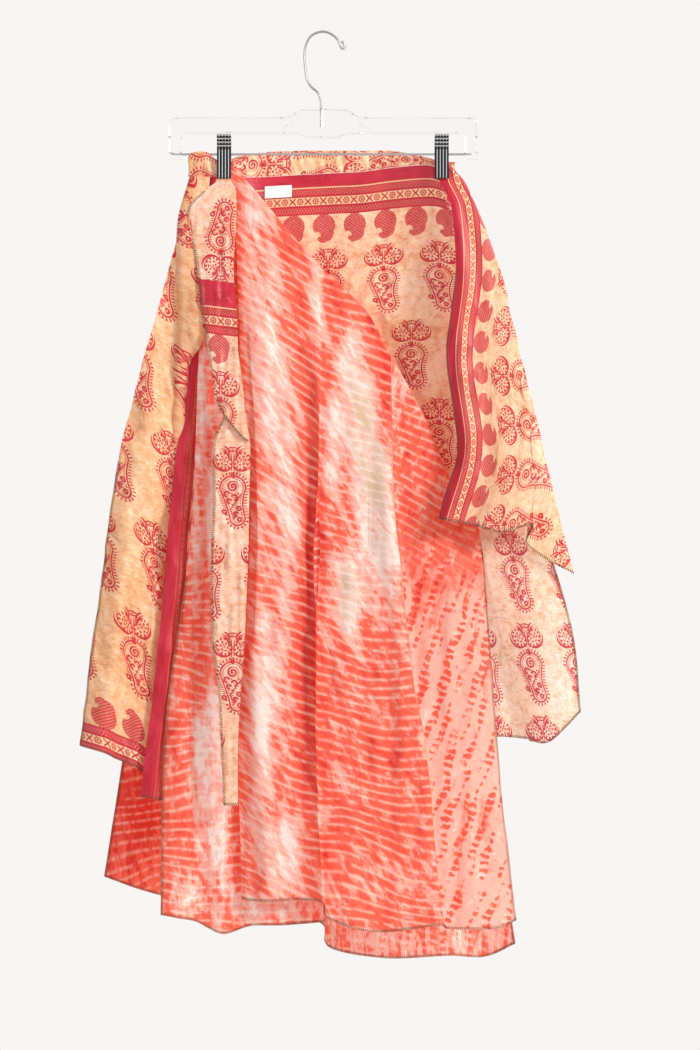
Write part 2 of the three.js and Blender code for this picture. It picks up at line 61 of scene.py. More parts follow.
def linear(hex_colour: str) -> tuple[float, float, float, float]:
    """Turn an sRGB hex colour such as "#c8203f" to linear RGBA.

    Args:
        hex_colour: six hex digits after a hash.

    Returns:
        Linear red, green, blue and an alpha of one.
    """
    parts = [int(hex_colour[i : i + 2], 16) / 255 for i in (1, 3, 5)]
    low_or_high = [c / 12.92 if c <= 0.04045 else ((c + 0.055) / 1.055) ** 2.4 for c in parts]
    return (*low_or_high, 1.0)


def add_node(tree: bpy.types.NodeTree, kind: str, inputs: Mapping = {}, **settings: object) -> bpy.types.Node:
    """Add one node, set its properties, and set or link its inputs.

    Args:
        tree: the node tree.
        kind: the node's bl_idname.
        inputs: socket name or number to a value, a socket or a Signal.
        settings: the node's own properties.

    Returns:
        The new node.
    """
    node = tree.nodes.new(kind)
    for key, value in settings.items():
        setattr(node, key, value)
    for key, value in inputs.items():
        source = value.socket if isinstance(value, Signal) else value
        if isinstance(source, bpy.types.NodeSocket):
            tree.links.new(source, node.inputs[key])
        else:
            node.inputs[key].default_value = source
    return node


Number = Union["Signal", float]


class Signal:
    """A number that varies over a surface: an output socket of a shader tree, with arithmetic."""

    def __init__(self, tree: bpy.types.NodeTree, socket: bpy.types.NodeSocket) -> None:
        """Hold the tree and the socket."""
        self.tree = tree
        self.socket = socket

    def _math(self, operation: str, *values: Number, clamp: bool = False) -> "Signal":
        """Apply one Math node to the values.

        Args:
            operation: the node's operation.
            values: its inputs, in order.
            clamp: whether the result is held between 0 and 1.

        Returns:
            The result.
        """
        inputs = dict(enumerate(values))
        made = add_node(self.tree, "ShaderNodeMath", inputs, operation=operation, use_clamp=clamp)
        return Signal(self.tree, made.outputs[0])

    def __add__(self, other: Number) -> "Signal":
        """Sum."""
        return self._math("ADD", self, other)

    __radd__ = __add__

    def __sub__(self, other: Number) -> "Signal":
        """Difference."""
        return self._math("SUBTRACT", self, other)

    def __rsub__(self, other: Number) -> "Signal":
        """Difference, the other way round."""
        return self._math("SUBTRACT", other, self)

    def __mul__(self, other: Number) -> "Signal":
        """Product."""
        return self._math("MULTIPLY", self, other)

    __rmul__ = __mul__

    def __truediv__(self, other: Number) -> "Signal":
        """Quotient."""
        return self._math("DIVIDE", self, other)

    def __neg__(self) -> "Signal":
        """The same size with the other sign."""
        return self * -1.0

    def __abs__(self) -> "Signal":
        """Size without sign."""
        return self._math("ABSOLUTE", self)

    def least(self, other: Number) -> "Signal":
        """The smaller of two."""
        return self._math("MINIMUM", self, other)

    def most(self, other: Number) -> "Signal":
        """The larger of two."""
        return self._math("MAXIMUM", self, other)

    def wave(self) -> "Signal":
        """The sine."""
        return self._math("SINE", self)

    def floor(self) -> "Signal":
        """The whole number below."""
        return self._math("FLOOR", self)

    def repeat(self, pitch: float) -> "Signal":
        """The distance from the middle of the nearest repeat of that pitch, from minus to plus half of it."""
        return (self + pitch / 2)._math("FLOORED_MODULO", self + pitch / 2, pitch) - pitch / 2

    def inside(self, soft: float = 0.4) -> "Signal":
        """1 where the value is under zero and 0 where it is over, with an edge that is `soft` wide."""
        return self._math("MULTIPLY_ADD", self, -1.0 / soft, 0.5, clamp=True)

    def between(self, low: float, high: float, soft: float = 0.4) -> "Signal":
        """1 where the value lies between two bounds."""
        return (abs(self - (low + high) / 2) - (high - low) / 2).inside(soft)

    def clamped(self) -> "Signal":
        """The value held between 0 and 1."""
        return self._math("ADD", self, 0.0, clamp=True)


def length(x: Number, y: Number) -> Signal:
    """The length of the vector (x, y).

    Args:
        x: one component, a Signal.
        y: the other component.

    Returns:
        Its length.
    """
    tree = x.tree
    joined = add_node(tree, "ShaderNodeCombineXYZ", {0: x, 1: y})
    size = add_node(tree, "ShaderNodeVectorMath", {0: joined.outputs[0]}, operation="LENGTH")
    return Signal(tree, size.outputs["Value"])


def angle(y: Signal, x: Signal) -> Signal:
    """The angle of the vector (x, y) from the x axis, in radians."""
    return y._math("ARCTAN2", y, x)


def any_of(*marks: Signal) -> Signal:
    """1 where any of the marks is 1."""
    out = marks[0]
    for mark in marks[1:]:
        out = out.most(mark)
    return out


def noise(tree: bpy.types.NodeTree, x: Signal, y: Signal, size: float, detail: float = 2.0,
          seed: float = 0.0) -> Signal:
    """Soft random mottling from 0 to 1, about 0.5, whose patches are `size` mm across.

    Args:
        tree: the shader tree.
        x: first cloth coordinate, in mm.
        y: second cloth coordinate, in mm.
        size: patch size in mm.
        detail: octaves of finer mottling.
        seed: which of many patterns.

    Returns:
        The noise value.
    """
    place = add_node(tree, "ShaderNodeCombineXYZ", {0: x, 1: y, 2: seed * 37.7})
    made = add_node(tree, "ShaderNodeTexNoise",
                    {"Vector": place.outputs[0], "Scale": 1.0 / size, "Detail": detail, "Roughness": 0.55})
    return Signal(tree, made.outputs["Fac"])


def creased(tree: bpy.types.NodeTree, s: Signal, t: Signal) -> Signal:
    """Thin pressed creases in thin cloth: 1 along the lines where slow mottling crosses its middle, 0 between.

    Args:
        tree: the shader tree.
        s: first cloth coordinate, in mm.
        t: second cloth coordinate, in mm.

    Returns:
        The strength of the crease, which fades in and out along its line.
    """
    strength = ((noise(tree, s, t, 34.0, 1.0, 15.0) - 0.47) * 5.0).clamped()
    lines = [((abs(noise(tree, s * 0.8 + t * 0.5, t * 0.6 - s * 0.4, size, 0.6, seed) - 0.5) * -60.0) + 1.0).clamped()
             for size, seed in ((46.0, 11.0), (27.0, 13.0))]
    return any_of(*lines) * strength


def weave(s: Signal, t: Signal) -> Signal:
    """The height of the crossing threads, in mm."""
    across, along = ((place * (TAU / WEAVE_PITCH)).wave() * WEAVE_HEIGHT for place in (s, t))
    return across + along


def mixed(tree: bpy.types.NodeTree, share: Number, a: object, b: object) -> bpy.types.NodeSocket:
    """Mix two colours by a share from 0, all a, to 1, all b."""
    made = add_node(tree, "ShaderNodeMix", {0: share, 6: a, 7: b}, data_type="RGBA")
    return made.outputs[2]


class Material:
    """A new material with an empty tree, its output, and the cloth coordinates of its piece."""

    def __init__(self, name: str) -> None:
        """Start the material.

        Args:
            name: what the finish is.
        """
        self.block = bpy.data.materials.new(name)
        self.block.use_nodes = True
        self.tree = self.block.node_tree
        self.tree.nodes.clear()
        self.output = add_node(self.tree, "ShaderNodeOutputMaterial")

    def signal(self, socket: bpy.types.NodeSocket) -> Signal:
        """Wrap a socket as a Signal of this tree."""
        return Signal(self.tree, socket)

    def cloth_place(self) -> tuple[Signal, Signal]:
        """The piece's own cloth coordinates: s along the border and t away from it, in mm."""
        uv = add_node(self.tree, "ShaderNodeUVMap", uv_map="cloth")
        parts = add_node(self.tree, "ShaderNodeSeparateXYZ", {0: uv.outputs[0]})
        return self.signal(parts.outputs[0]), self.signal(parts.outputs[1])

    def attribute(self, name: str) -> Signal:
        """A number kept on the piece's points."""
        made = add_node(self.tree, "ShaderNodeAttribute", attribute_name=name)
        return self.signal(made.outputs["Fac"])

    def cloth(self, colour: bpy.types.NodeSocket, height: Signal, gloss: Number, sheen: float,
              through: float) -> bpy.types.Material:
        """Finish the tree as thin satin cloth: a principled surface with a share of light let through.

        Args:
            colour: the cloth's colour.
            height: the weave's height in mm.
            gloss: roughness.
            sheen: sheen weight.
            through: share of the light that passes through the cloth.

        Returns:
            The material.
        """
        tree = self.tree
        bump = add_node(tree, "ShaderNodeBump", {"Height": height, "Strength": 0.5, "Distance": MM})
        face = add_node(tree, "ShaderNodeBsdfPrincipled",
                        {"Base Color": colour, "Roughness": gloss, "Sheen Weight": sheen,
                         "Sheen Roughness": 0.4, "Specular IOR Level": 0.45, "Normal": bump.outputs[0]})
        shine = add_node(tree, "ShaderNodeBsdfTranslucent", {"Color": colour, "Normal": bump.outputs[0]})
        both = add_node(tree, "ShaderNodeMixShader", {0: through, 1: face.outputs[0], 2: shine.outputs[0]})
        tree.links.new(both.outputs[0], self.output.inputs[0])
        return self.block


# ---- Finishes --------------------------------------------------------------------------------------


@dataclass(frozen=True)
class Border:
    """The woven-look border, read outwards from the cloth's edge: distances t from that edge, in mm."""

    band: float = 19.0
    gold: float = 20.5
    first_chain: float = 29.0
    crosses: tuple[float, float] = (30.5, 40.0)
    second_chain: tuple[float, float] = (41.5, 50.0)
    end: float = 51.0
    mangos: float = 68.0
    mango_pitch: float = 35.5
    motifs: float = 92.0


class Way(Enum):
    """Which way the big motifs stand: their blossom near the border or away from it."""

    BLOSSOM_NEAR = 1.0
    BLOSSOM_FAR = -1.0


@dataclass(frozen=True)
class PrintedCloth:
    """Printed polyester sari cloth, light satin weave: tan ground, crimson paisleys, a woven-look border."""

    name: str
    ground: str = "#f8cda2"
    ground_light: str = "#ffecd2"
    ground_dark: str = "#e39a62"
    ink: str = "#cf1a3a"
    band: str = "#d3203e"
    gold: str = "#f8d3a2"
    way: Way = Way.BLOSSOM_NEAR
    column: float = 64.5
    row: float = 107.0
    stagger: float = 0.5
    origin: tuple[float, float] = (0.0, 92.0)
    mango_from: float = 0.0
    bordered: bool = True
    hatch: float = 0.36
    through: float = 0.22
    border: Border = Border()

    def build(self) -> bpy.types.Material:
        """Make the material.

        Returns:
            The finished material.
        """
        made = Material(self.name)
        tree = made.tree
        s, t = made.cloth_place()
        soft = noise(tree, s, t, 9.0, 3.0)
        fleck = noise(tree, s * 0.45, t, 1.7, 2.0, 3.0)
        wash = noise(tree, s, t, 60.0, 2.0, 5.0)
        tone = ((soft - 0.5) * 1.5 + (fleck - 0.5) * 1.3 + (wash - 0.5) * 0.9 + 0.5).clamped()
        lighter = mixed(tree, ((tone - 0.5) * 2.0).clamped(), linear(self.ground), linear(self.ground_light))
        colour = mixed(tree, ((0.5 - tone) * 1.7).clamped(), lighter, linear(self.ground_dark))
        ink = self._motifs(s, t)
        if self.bordered:
            past = (self.border.motifs - 2.0 - t).inside()
            ink = any_of(ink * past, self._mangos(s, t))
        worn = (noise(tree, s, t, 2.2, 1.0, 7.0) * 1.6 - 0.05).clamped()
        ink = ink * (worn * 0.25 + 0.78)
        colour = mixed(tree, ink, colour, linear(self.ink))
        if self.bordered:
            colour = self._bordered(made, s, t, colour)
        # Along the creases the weave sinks and the colour darkens towards brown: painted shade in the creases.
        pressed = creased(tree, s, t)
        colour = mixed(tree, pressed * 0.22, colour, linear("#a8502c"))
        return made.cloth(colour, weave(s, t) + soft * 0.12 - pressed * 0.9, 0.42, 0.08, self.through)

    def _bordered(self, made: Material, s: Signal, t: Signal, field_colour: bpy.types.NodeSocket
                  ) -> bpy.types.NodeSocket:
        """Lay the border over the field: plain band, gold line, chain, crosses and rings, chain.

        Args:
            made: the material.
            s: distance along the border, mm.
            t: distance from the cloth's edge, mm.
            field_colour: the colour of the field.

        Returns:
            The colour with the border.
        """
        tree, lines = made.tree, self.border
        low, high = lines.second_chain
        streak = noise(tree, s * 0.12, t, 2.5, 2.0, 9.0)
        crimson = mixed(tree, (streak * 1.6 - 0.3).clamped(), linear("#a81632"), linear(self.band))
        # Slow patches of a lighter crimson: painted satin highlight.
        crimson = mixed(tree, (noise(tree, s, t, 30.0, 1.0, 2.0) * 1.2 - 0.3).clamped(), crimson,
                        linear("#e23a52"))
        tick = 3.3
        chains = []
        for start, end in ((lines.gold, lines.first_chain), (low, high)):
            middle, half = (start + end) / 2, (end - start) / 2
            slant = (s + abs(t - middle) * 0.9).repeat(tick)
            legs = (abs(slant) - tick * 0.12).inside(0.4) * 0.48
            chains.append(legs * (abs(t - middle) - (half - 0.9)).inside())
        crosses_low, crosses_high = lines.crosses
        middle = (crosses_low + crosses_high) / 2
        across = s.repeat(17.8)
        cross = (abs(abs(across) - abs(t - middle)) - 1.15).inside() * (abs(across) - 3.8).inside()
        beside = (s + 8.9).repeat(17.8)
        petals = (angle(t - middle, beside) * 8.0).wave() * 0.55
        ring = (abs(length(beside, t - middle) - 2.9 - petals) - 0.8).inside()
        heart = (length(beside, t - middle) - 1.2).inside()
        marks = any_of(cross, ring, heart)
        ground = t.between(crosses_low, crosses_high) * (1.0 - marks)
        gold = any_of(t.between(lines.band, lines.gold), ground, *chains)
        colour = mixed(tree, gold, crimson, linear(self.gold))
        return mixed(tree, (t - lines.end).inside(), field_colour, colour)

    def _mangos(self, s: Signal, t: Signal) -> Signal:
        """A row of solid mangos with a curled tip, hatched by fine slanting lines.

        Args:
            s: distance along the border, mm.
            t: distance from the cloth's edge, mm.

        Returns:
            The ink, from 0 to 1.
        """
        p = (s - self.mango_from).repeat(self.border.mango_pitch) / 1.24
        q = (t - self.border.mangos) / 1.24
        head = length(p, q + 3.0) - 10.5
        waist = length(p - 0.5, q - 4.0) - 8.5
        tip = length(p + 1.0, q - 9.5) - 4.2
        curl = length(p + 6.5, q - 6.0) - 3.4
        stalk = (abs(p) - 4.0).most(abs(q + 13.0) - 0.9)
        shape = head.least(waist).least(tip).least(stalk).most(-(curl))
        hook = (length(p + 4.4, q - 9.2) - 2.1)
        lines = ((p * 0.7 - q) * (TAU / 2.7)).wave() * 0.5 + 0.5
        return shape.least(hook).inside() * (lines * self.hatch * -1.0 + 1.0)

    def _motifs(self, s: Signal, t: Signal) -> Signal:
        """The big motif on a staggered lattice: a blossom of two lobes over a fringed paisley.

        Args:
            s: distance along the border, mm.
            t: distance from the cloth's edge, mm.

        Returns:
            The ink, from 0 to 1.
        """
        along = (t - self.origin[1]) * self.way.value
        row = (along / self.row).floor()
        q = along - row * self.row
        p = (s - self.origin[0] + row * (self.stagger * self.column)).repeat(self.column)
        return self._blossom(p, q).most(self._paisley(p, q - 33.0))

    @staticmethod
    def _blossom(p: Signal, q: Signal) -> Signal:
        """Two combed lobes on bold crescents, leaves that fan out above them, and a lens-shaped bud on top.

        Args:
            p: distance from the motif's middle line, mm.
            q: distance down from the motif's top, mm.

        Returns:
            The ink, from 0 to 1.
        """
        side = abs(p)
        x, y = side - 10.2 + (q - 17.0) * 0.18, (q - 17.0) * 0.86
        reach, turn = length(x, y), angle(y, x)
        crescent = (length(side - 10.4, q - 17.2) - 12.6).most(12.6 - length(side - 9.2, q - 14.6)).inside()
        combed = (abs(reach - 7.6) - 1.3).inside() * ((turn * 11.0).wave() * 1.2 + 0.1).inside(0.7)
        rim = (abs(reach - 9.3) - 0.55).inside() * (9.5 - q).inside(2.0)
        inner = (abs(reach - 4.2) - 0.95).inside() * ((turn * 6.0).wave() * 1.2 - 0.3).inside(0.7)
        curl = (abs((reach - turn * 0.4).repeat(2.6)) - 0.6).inside() * (reach - 2.6).inside()
        tip = (side - 18.0).inside(2.5) * (side - 13.0).inside(9.0)
        leaves = [(abs(length(side - out, q - down) - size) - 1.0 * tip).inside() * (q - down).inside()
                  * (1.0 - side).inside() * tip for out, down, size in ((14.5, 9.5, 10.5), (15.5, 12.5, 10.0),
                                                                        (15.0, 16.5, 11.0))]
        stem = (abs(side - 1.5) - 0.5).inside() * q.between(9.0, 29.0)
        lens = length(p, q + 3.6).most(length(p, q - 11.0)) - 10.4
        bud = (abs(lens + 0.9) - 0.8).inside()
        eye = (length(p * 0.5, q - 3.7) - 0.8).inside()
        knot = ((length(p * 0.8, q - 31.5) - 1.9)).inside() * (1.0 - (length(p, q - 31.5) - 0.7).inside())
        return any_of(crescent, combed, rim, inner, curl, *leaves, stem, bud, eye, knot)

    @staticmethod
    def _paisley(p: Signal, q: Signal) -> Signal:
        """A paisley, round at the head and bent in the tail: fringe, outline, a dividing curl, and scrolls.

        Args:
            p: distance from the motif's middle line, mm.
            q: distance down from the paisley's top, mm.

        Returns:
            The ink, from 0 to 1.
        """
        share = ((q - 16.0) / 33.0).clamped()
        fall = share * 33.0
        x = p - share * 5.4 + (share * math.pi).wave() * 1.2
        radius = 15.0 - share * 13.6 + share * share * 7.4
        edge = length(x, q - 16.5 - fall) - radius
        turn = angle(q - 16.5 - fall, x)
        around = turn * radius + fall
        fringe = edge.between(1.5, 4.8) * (abs(around.repeat(3.3)) - 0.72).inside()
        outline = (abs(edge) - 0.95).inside()
        inner = edge.between(-3.6, -2.0) * (abs(around.repeat(2.7)) - 0.7).inside()
        divide_at = 11.5 - ((q - 20.0) / 20.0).clamped() * 17.5 + (q - 40.0).most(0.0) * 0.25
        divide = (abs(x - divide_at) - 0.95).inside() * q.between(21.0, 50.0) * edge.inside()
        comb = (x - divide_at).between(1.4, 3.0) * q.between(26.0, 50.0) * (abs(q.repeat(2.7)) - 0.7).inside()

        def ring(cx: float, cy: float, size: float, wide: float = 1.05) -> Signal:
            """A ring about a place."""
            return (abs(length(x - cx, q - cy) - size) - wide).inside()

        def dot(cx: float, cy: float, size: float) -> Signal:
            """A dot at a place."""
            return (length(x - cx, q - cy) - size).inside()

        def curl(cx: float, cy: float, size: float, way: float) -> Signal:
            """A comma: a ring open on one side, with a dot at its heart."""
            open_side = (length(x - cx - size * way, q - cy - size * 0.7) - size * 0.8).inside()
            return any_of(ring(cx, cy, size, 1.2) * (1.0 - open_side), dot(cx, cy, 0.8))

        eye, swirl = length(x, q - 13.5), angle(q - 13.5, x)
        spiral = (abs((eye - swirl * 0.56).repeat(3.52)) - 1.15).inside() * (eye - 6.6).inside()
        scrolls = [spiral, curl(-7.3, 22.4, 2.9, 1.0), curl(1.0, 26.2, 2.9, -1.0), curl(-5.4, 30.4, 2.4, 1.0),
                   dot(6.0, 22.0, 1.1), dot(-2.6, 34.6, 1.1), dot(-1.6, 21.3, 1.0), ring(4.2, 39.0, 2.3),
                   dot(4.2, 39.0, 0.9), curl(-0.4, 45.2, 2.3, 1.0), ring(2.4, 51.6, 2.0), dot(5.6, 46.0, 1.1),
                   dot(-4.2, 50.5, 1.1), ring(0.0, 1.6, 1.7)]
        return any_of(fringe, outline, inner, divide, comb, ring(-13.5, 43.0, 2.2, 1.1), *scrolls)


@dataclass(frozen=True)
class TieDyeCloth:
    """Polyester dyed by pleating and tying: coral and blush washes, with pale lines where the pleats resisted."""

    name: str
    white: str = "#fff3ec"
    blush: str = "#ffbdac"
    coral: str = "#ff6a50"
    deep_dye_and_shade: str = "#e23224"
    resist: str = "#ffbda8"
    beige: str = "#dcc5a6"
    dot_rows: float = 19.0
    dot_pitch: float = 8.5
    through: float = 0.25

    def build(self) -> bpy.types.Material:
        """Make the material. The piece's points carry the wash, whose deepest patches are partly painted shade in
        folds, the beige, the pleat phase and its strength.

        Returns:
            The finished material.
        """
        made = Material(self.name)
        tree = made.tree
        s, t = made.cloth_place()
        wash, beige = made.attribute("wash"), made.attribute("beige")
        phase, across, dotted = made.attribute("phase"), made.attribute("across"), made.attribute("dotted")
        # Mottling that runs along the streaks of dye, and the pleats' resist lines, broken along their run.
        along = phase * 11.0
        streak = noise(tree, across, along * 0.28, 13.0, 2.0)
        blots = noise(tree, across, along * 0.7, 6.5, 2.0, 2.0)
        fine = noise(tree, s, t, 2.2, 2.0, 4.0)
        row = phase.floor()
        dashes = noise(tree, across * 0.55, row * 31.0, 6.0, 1.0, 6.0)
        bent = phase + (blots - 0.5) * 0.16 + (noise(tree, s, t, 30.0, 1.0, 8.0) - 0.5) * 0.5
        crest = (bent * TAU).wave() * 0.5 + 0.5
        crest = crest * crest * crest * crest
        broken = ((noise(tree, across, row * 17.0, 9.0, 2.0, 9.0) - 0.33) * 5.0).clamped()
        line = crest * broken
        mottle = (streak - 0.5) * 1.3 + (blots - 0.5) * 0.9 + (fine - 0.5) * 0.3 + (dashes - 0.5) * 0.5
        level = wash + mottle * (1.0 - dotted * 0.6)
        # Rows of small marks where the dye only reached the outside of the pleats.
        run = made.attribute("run")
        wavering = across + (noise(tree, s, t, 34.0, 1.0, 12.0) - 0.5) * 26.0
        patches = noise(tree, across * 0.9, run * 0.22, 9.0, 2.0, 15.0)
        rows = (abs(wavering.repeat(self.dot_rows)) - 3.0 - 4.0 * blots).inside(2.0)
        dots = ((run + (blots - 0.5) * 9.0) * (TAU / self.dot_pitch)).wave() + (streak - 0.5) * 3.0
        dots = (dots * -1.0 + 0.35 - patches * 0.9).inside(1.3) * rows * ((patches - 0.4) * 7.0).clamped()
        level = level + dots * dotted * (0.3 + patches * 0.4)
        # White cloth through blush and coral to the deepest coral, which partly stands for painted shade in folds,
        # then the lines, then undyed beige.
        blush = mixed(tree, (level * 5.0 - 0.75).clamped(), linear(self.white), linear(self.blush))
        coral = mixed(tree, (level * 4.2 - 1.9).clamped(), blush, linear(self.coral))
        deep_dye_and_shade = mixed(tree, (level * 2.4 - 1.95).clamped(), coral, linear(self.deep_dye_and_shade))
        pale = mixed(tree, (level * 1.2).clamped(), linear(self.white), linear(self.resist))
        # Lines fade where the colour is deepest, in the deepest dye and in the patches painted as shade.
        deep_dye_and_shade_share = ((level - 1.05) * 1.6).clamped()
        lined = mixed(tree, (line * (1.0 - dotted * 0.85) * (0.95 - deep_dye_and_shade_share * 0.75)).clamped(), deep_dye_and_shade, pale)
        grey = (beige * 1.3 + (blots - 0.5) * 1.2 - (level - 0.25) * 1.6 - line * 0.6 - 0.15).clamped()
        colour = mixed(tree, grey, lined, linear(self.beige))
        # Along the creases the weave sinks and the colour darkens: painted shade in the creases.
        pressed = creased(tree, s * 1.6, t * 0.5)
        colour = mixed(tree, pressed * 0.25, colour, linear("#b83a28"))
        return made.cloth(colour, weave(s, t) + blots * 0.08 - pressed * 0.7, 0.45, 0.08, self.through)


@dataclass(frozen=True)
class Plain:
    """A plain finish with fine wear: metal, thread or a woven label."""

    name: str
    colour: str
    second: str
    rough: float
    metal: float = 0.0
    patch: float = 4.0
    grain: float = 0.05

    def build(self) -> bpy.types.Material:
        """Make the material: two close colours mixed by fine noise, and a grain in the height.

        Returns:
            The finished material.
        """
        made = Material(self.name)
        tree = made.tree
        place = add_node(tree, "ShaderNodeTexCoord")
        spots = add_node(tree, "ShaderNodeTexNoise", {"Vector": place.outputs["Object"],
                                                      "Scale": 1.0 / (self.patch * MM), "Detail": 2.0})
        share = made.signal(spots.outputs["Fac"])
        colour = mixed(tree, share, linear(self.colour), linear(self.second))
        bump = add_node(tree, "ShaderNodeBump", {"Height": share * self.grain, "Strength": 0.4, "Distance": MM})
        gloss = share * 0.12 + (self.rough - 0.06)
        face = add_node(tree, "ShaderNodeBsdfPrincipled",
                        {"Base Color": colour, "Metallic": self.metal, "Roughness": gloss,
                         "Normal": bump.outputs[0]})
        tree.links.new(face.outputs[0], made.output.inputs[0])
        return made.block


@dataclass(frozen=True)
class RibbedPlate:
    """Nickel-plated pressed steel: light on the ribs as painted highlight, dark in the grooves as painted shade."""

    name: str = "plated_pressed_steel"
    bright: str = "#e9eaec"
    dark: str = "#2c2c2e"
    face: float = -6.35
    lean: float = 0.22
    grip: float = -134.0
    depth: float = 1.8
    bump_pitch: float = 4.0

    def build(self) -> bpy.types.Material:
        """Make the material: the height over the plate, which leans back above the grip, picks the tone: light on the
        ribs and in bands across the bumps above the grip as painted highlight, dark in the grooves as painted shade.

        Returns:
            The finished material.
        """
        made = Material(self.name)
        place = add_node(made.tree, "ShaderNodeTexCoord")
        parts = add_node(made.tree, "ShaderNodeSeparateXYZ", {0: place.outputs["Object"]})
        y, z = (made.signal(parts.outputs[k]) / MM for k in (1, 2))
        height = (self.face - y - (z - self.grip).most(0.0) * self.lean) / self.depth
        # Bands across the bumps above the grip and the ribs get painted highlight, the grooves get painted shade; the
        # ribs are also smoother.
        bump_highlight = (z * (TAU / self.bump_pitch)).wave() * (z - self.grip).most(0.0).least(1.0)
        rib_polish_and_highlight = ((height - 0.6 + bump_highlight * 0.3) * 3.2).clamped()
        colour = mixed(made.tree, rib_polish_and_highlight, linear(self.dark), linear(self.bright))
        face = add_node(made.tree, "ShaderNodeBsdfPrincipled",
                        {"Base Color": colour, "Metallic": 1.0, "Roughness": 0.55 - rib_polish_and_highlight * 0.3})
        made.tree.links.new(face.outputs[0], made.output.inputs[0])
        return made.block


@dataclass(frozen=True)
class ClearPlastic:
    """Injection-moulded clear polystyrene: glossy, colourless, faint flow marks."""

    name: str = "clear_polystyrene"

    def build(self) -> bpy.types.Material:
        """Make the material.

        Returns:
            The finished material.
        """
        made = Material(self.name)
        place = add_node(made.tree, "ShaderNodeTexCoord")
        flow = add_node(made.tree, "ShaderNodeTexNoise", {"Vector": place.outputs["Object"], "Scale": 60.0})
        bump = add_node(made.tree, "ShaderNodeBump", {"Height": flow.outputs["Fac"], "Strength": 0.15,
                                                      "Distance": MM})
        face = add_node(made.tree, "ShaderNodeBsdfPrincipled",
                        {"Base Color": linear("#fffdfb"), "Roughness": 0.02, "IOR": 1.3,
                         "Transmission Weight": 1.0, "Normal": bump.outputs[0]})
        made.tree.links.new(face.outputs[0], made.output.inputs[0])
        return made.block


# ---- Surfaces ----------------------------------------------------------------------------------------


def through(at: Sequence[float], values: Array, t: Array) -> Array:
    """Read smooth values at t: a cubic through `values` at the rising places `at`, tangents from neighbours.

    Args:
        at: the places, rising.
        values: one value, or one array of values, for each place.
        t: where to read, a flat array.

    Returns:
        Values with t's length first.
    """
    at, values = np.asarray(at, float), np.asarray(values, float)
    wide = (slice(None),) + (None,) * (values.ndim - 1)
    lower = np.maximum(np.arange(len(at)) - 1, 0)
    upper = np.minimum(np.arange(len(at)) + 1, len(at) - 1)
    slopes = (values[upper] - values[lower]) / (at[upper] - at[lower])[wide]
    k = np.clip(np.searchsorted(at, t, side="right") - 1, 0, len(at) - 2)
    span = (at[k + 1] - at[k])[wide]
    s = np.clip((t - at[k])[wide] / span, 0, 1)
    return ((2 * s**3 - 3 * s**2 + 1) * values[k] + (s**3 - 2 * s**2 + s) * slopes[k] * span
            + (3 * s**2 - 2 * s**3) * values[k + 1] + (s**3 - s**2) * slopes[k + 1] * span)


def smooth(low: float, high: float, value: Array) -> Array:
    """Rise smoothly from 0 at `low` to 1 at `high`."""
    s = np.clip((value - low) / (high - low), 0, 1)
    return s * s * (3 - 2 * s)


def ripples(s: Array, t: Array, size: float, seed: int, stretch: float = 1.0, count: int = 14) -> Array:
    """Gentle random waves, about -1 to 1: a sum of sines of random heading and of length about `size`.

    Args:
        s: cloth coordinate across, mm.
        t: cloth coordinate down, mm.
        size: typical wavelength, mm.
        seed: which waves.
        stretch: how much longer the waves are down the cloth than across it.
        count: how many sines.

    Returns:
        The height at each point.
    """
    rng = np.random.default_rng(seed)
    out = np.zeros(np.broadcast(s, t).shape)
    for _ in range(count):
        heading, wave, start = rng.uniform(0, math.pi), size * rng.uniform(0.6, 1.7), rng.uniform(0, 6.3)
        out += np.sin((s * math.cos(heading) + t * math.sin(heading) / stretch) * TAU / wave + start)
    return out / math.sqrt(count)


def crumples(s: Array, t: Array, size: float, seed: int, stretch: float = 1.0) -> Array:
    """Sharp pressed creases, 0 in the creases to about 1 between them: the size of slow random waves."""
    return np.abs(ripples(s, t, size, seed, stretch, 9))


@dataclass(frozen=True)
class Sight:
    """Where the fold tables' front view is taken from: a point in front of the hanger's plane, mm."""

    x: float = 31.0
    distance: float = 3500.0
    z: float = -567.0

    def place(self, x: Array, y: Array, z: Array) -> Array:
        """Move a point given on the hanger's plane along its line of sight to depth y.

        Args:
            x: where it shows, across.
            y: its depth.
            z: where it shows, up.

        Returns:
            Points, with x, y and z last.
        """
        scale = (self.distance + y) / self.distance
        return np.stack([self.x + (x - self.x) * scale, y, self.z + (z - self.z) * scale], -1)


SIGHT = Sight()


@dataclass(frozen=True)
class Fold:
    """A fold line: x at the panel's shares of the way down, z of both ends, and depth y at those shares."""

    x: tuple[float, ...]
    z: tuple[float, float]
    y: tuple[float, ...]


@dataclass
class Layout:
    """A panel's grid: its shares across and down, where it shows on the hanger's plane, and its depth."""

    u: Array
    v: Array
    x: Array
    y: Array
    z: Array


@dataclass(frozen=True)
class Panel:
    """A hanging panel: fold lines from left to right, and the shares of the way down that they are given at."""

    at: tuple[float, ...]
    folds: tuple[Fold, ...]

    def lay(self, u: Array, v: Array) -> Layout:
        """Lay the panel out: a smooth line down each fold, then smooth lines across them.

        Args:
            u: shares across, a flat array.
            v: shares down, a flat array.

        Returns:
            The panel's layout, rows down and columns across.
        """
        across = np.linspace(0, 1, len(self.folds))
        x = np.stack([through(self.at, f.x, v) for f in self.folds])
        y = np.stack([through(self.at, f.y, v) for f in self.folds])
        z = np.stack([f.z[0] + (f.z[1] - f.z[0]) * v for f in self.folds])
        x, y, z = (through(across, part, u).T for part in (x, y, z))
        return Layout(np.broadcast_to(u, x.shape), np.broadcast_to(v[:, None], x.shape), x, y, z)


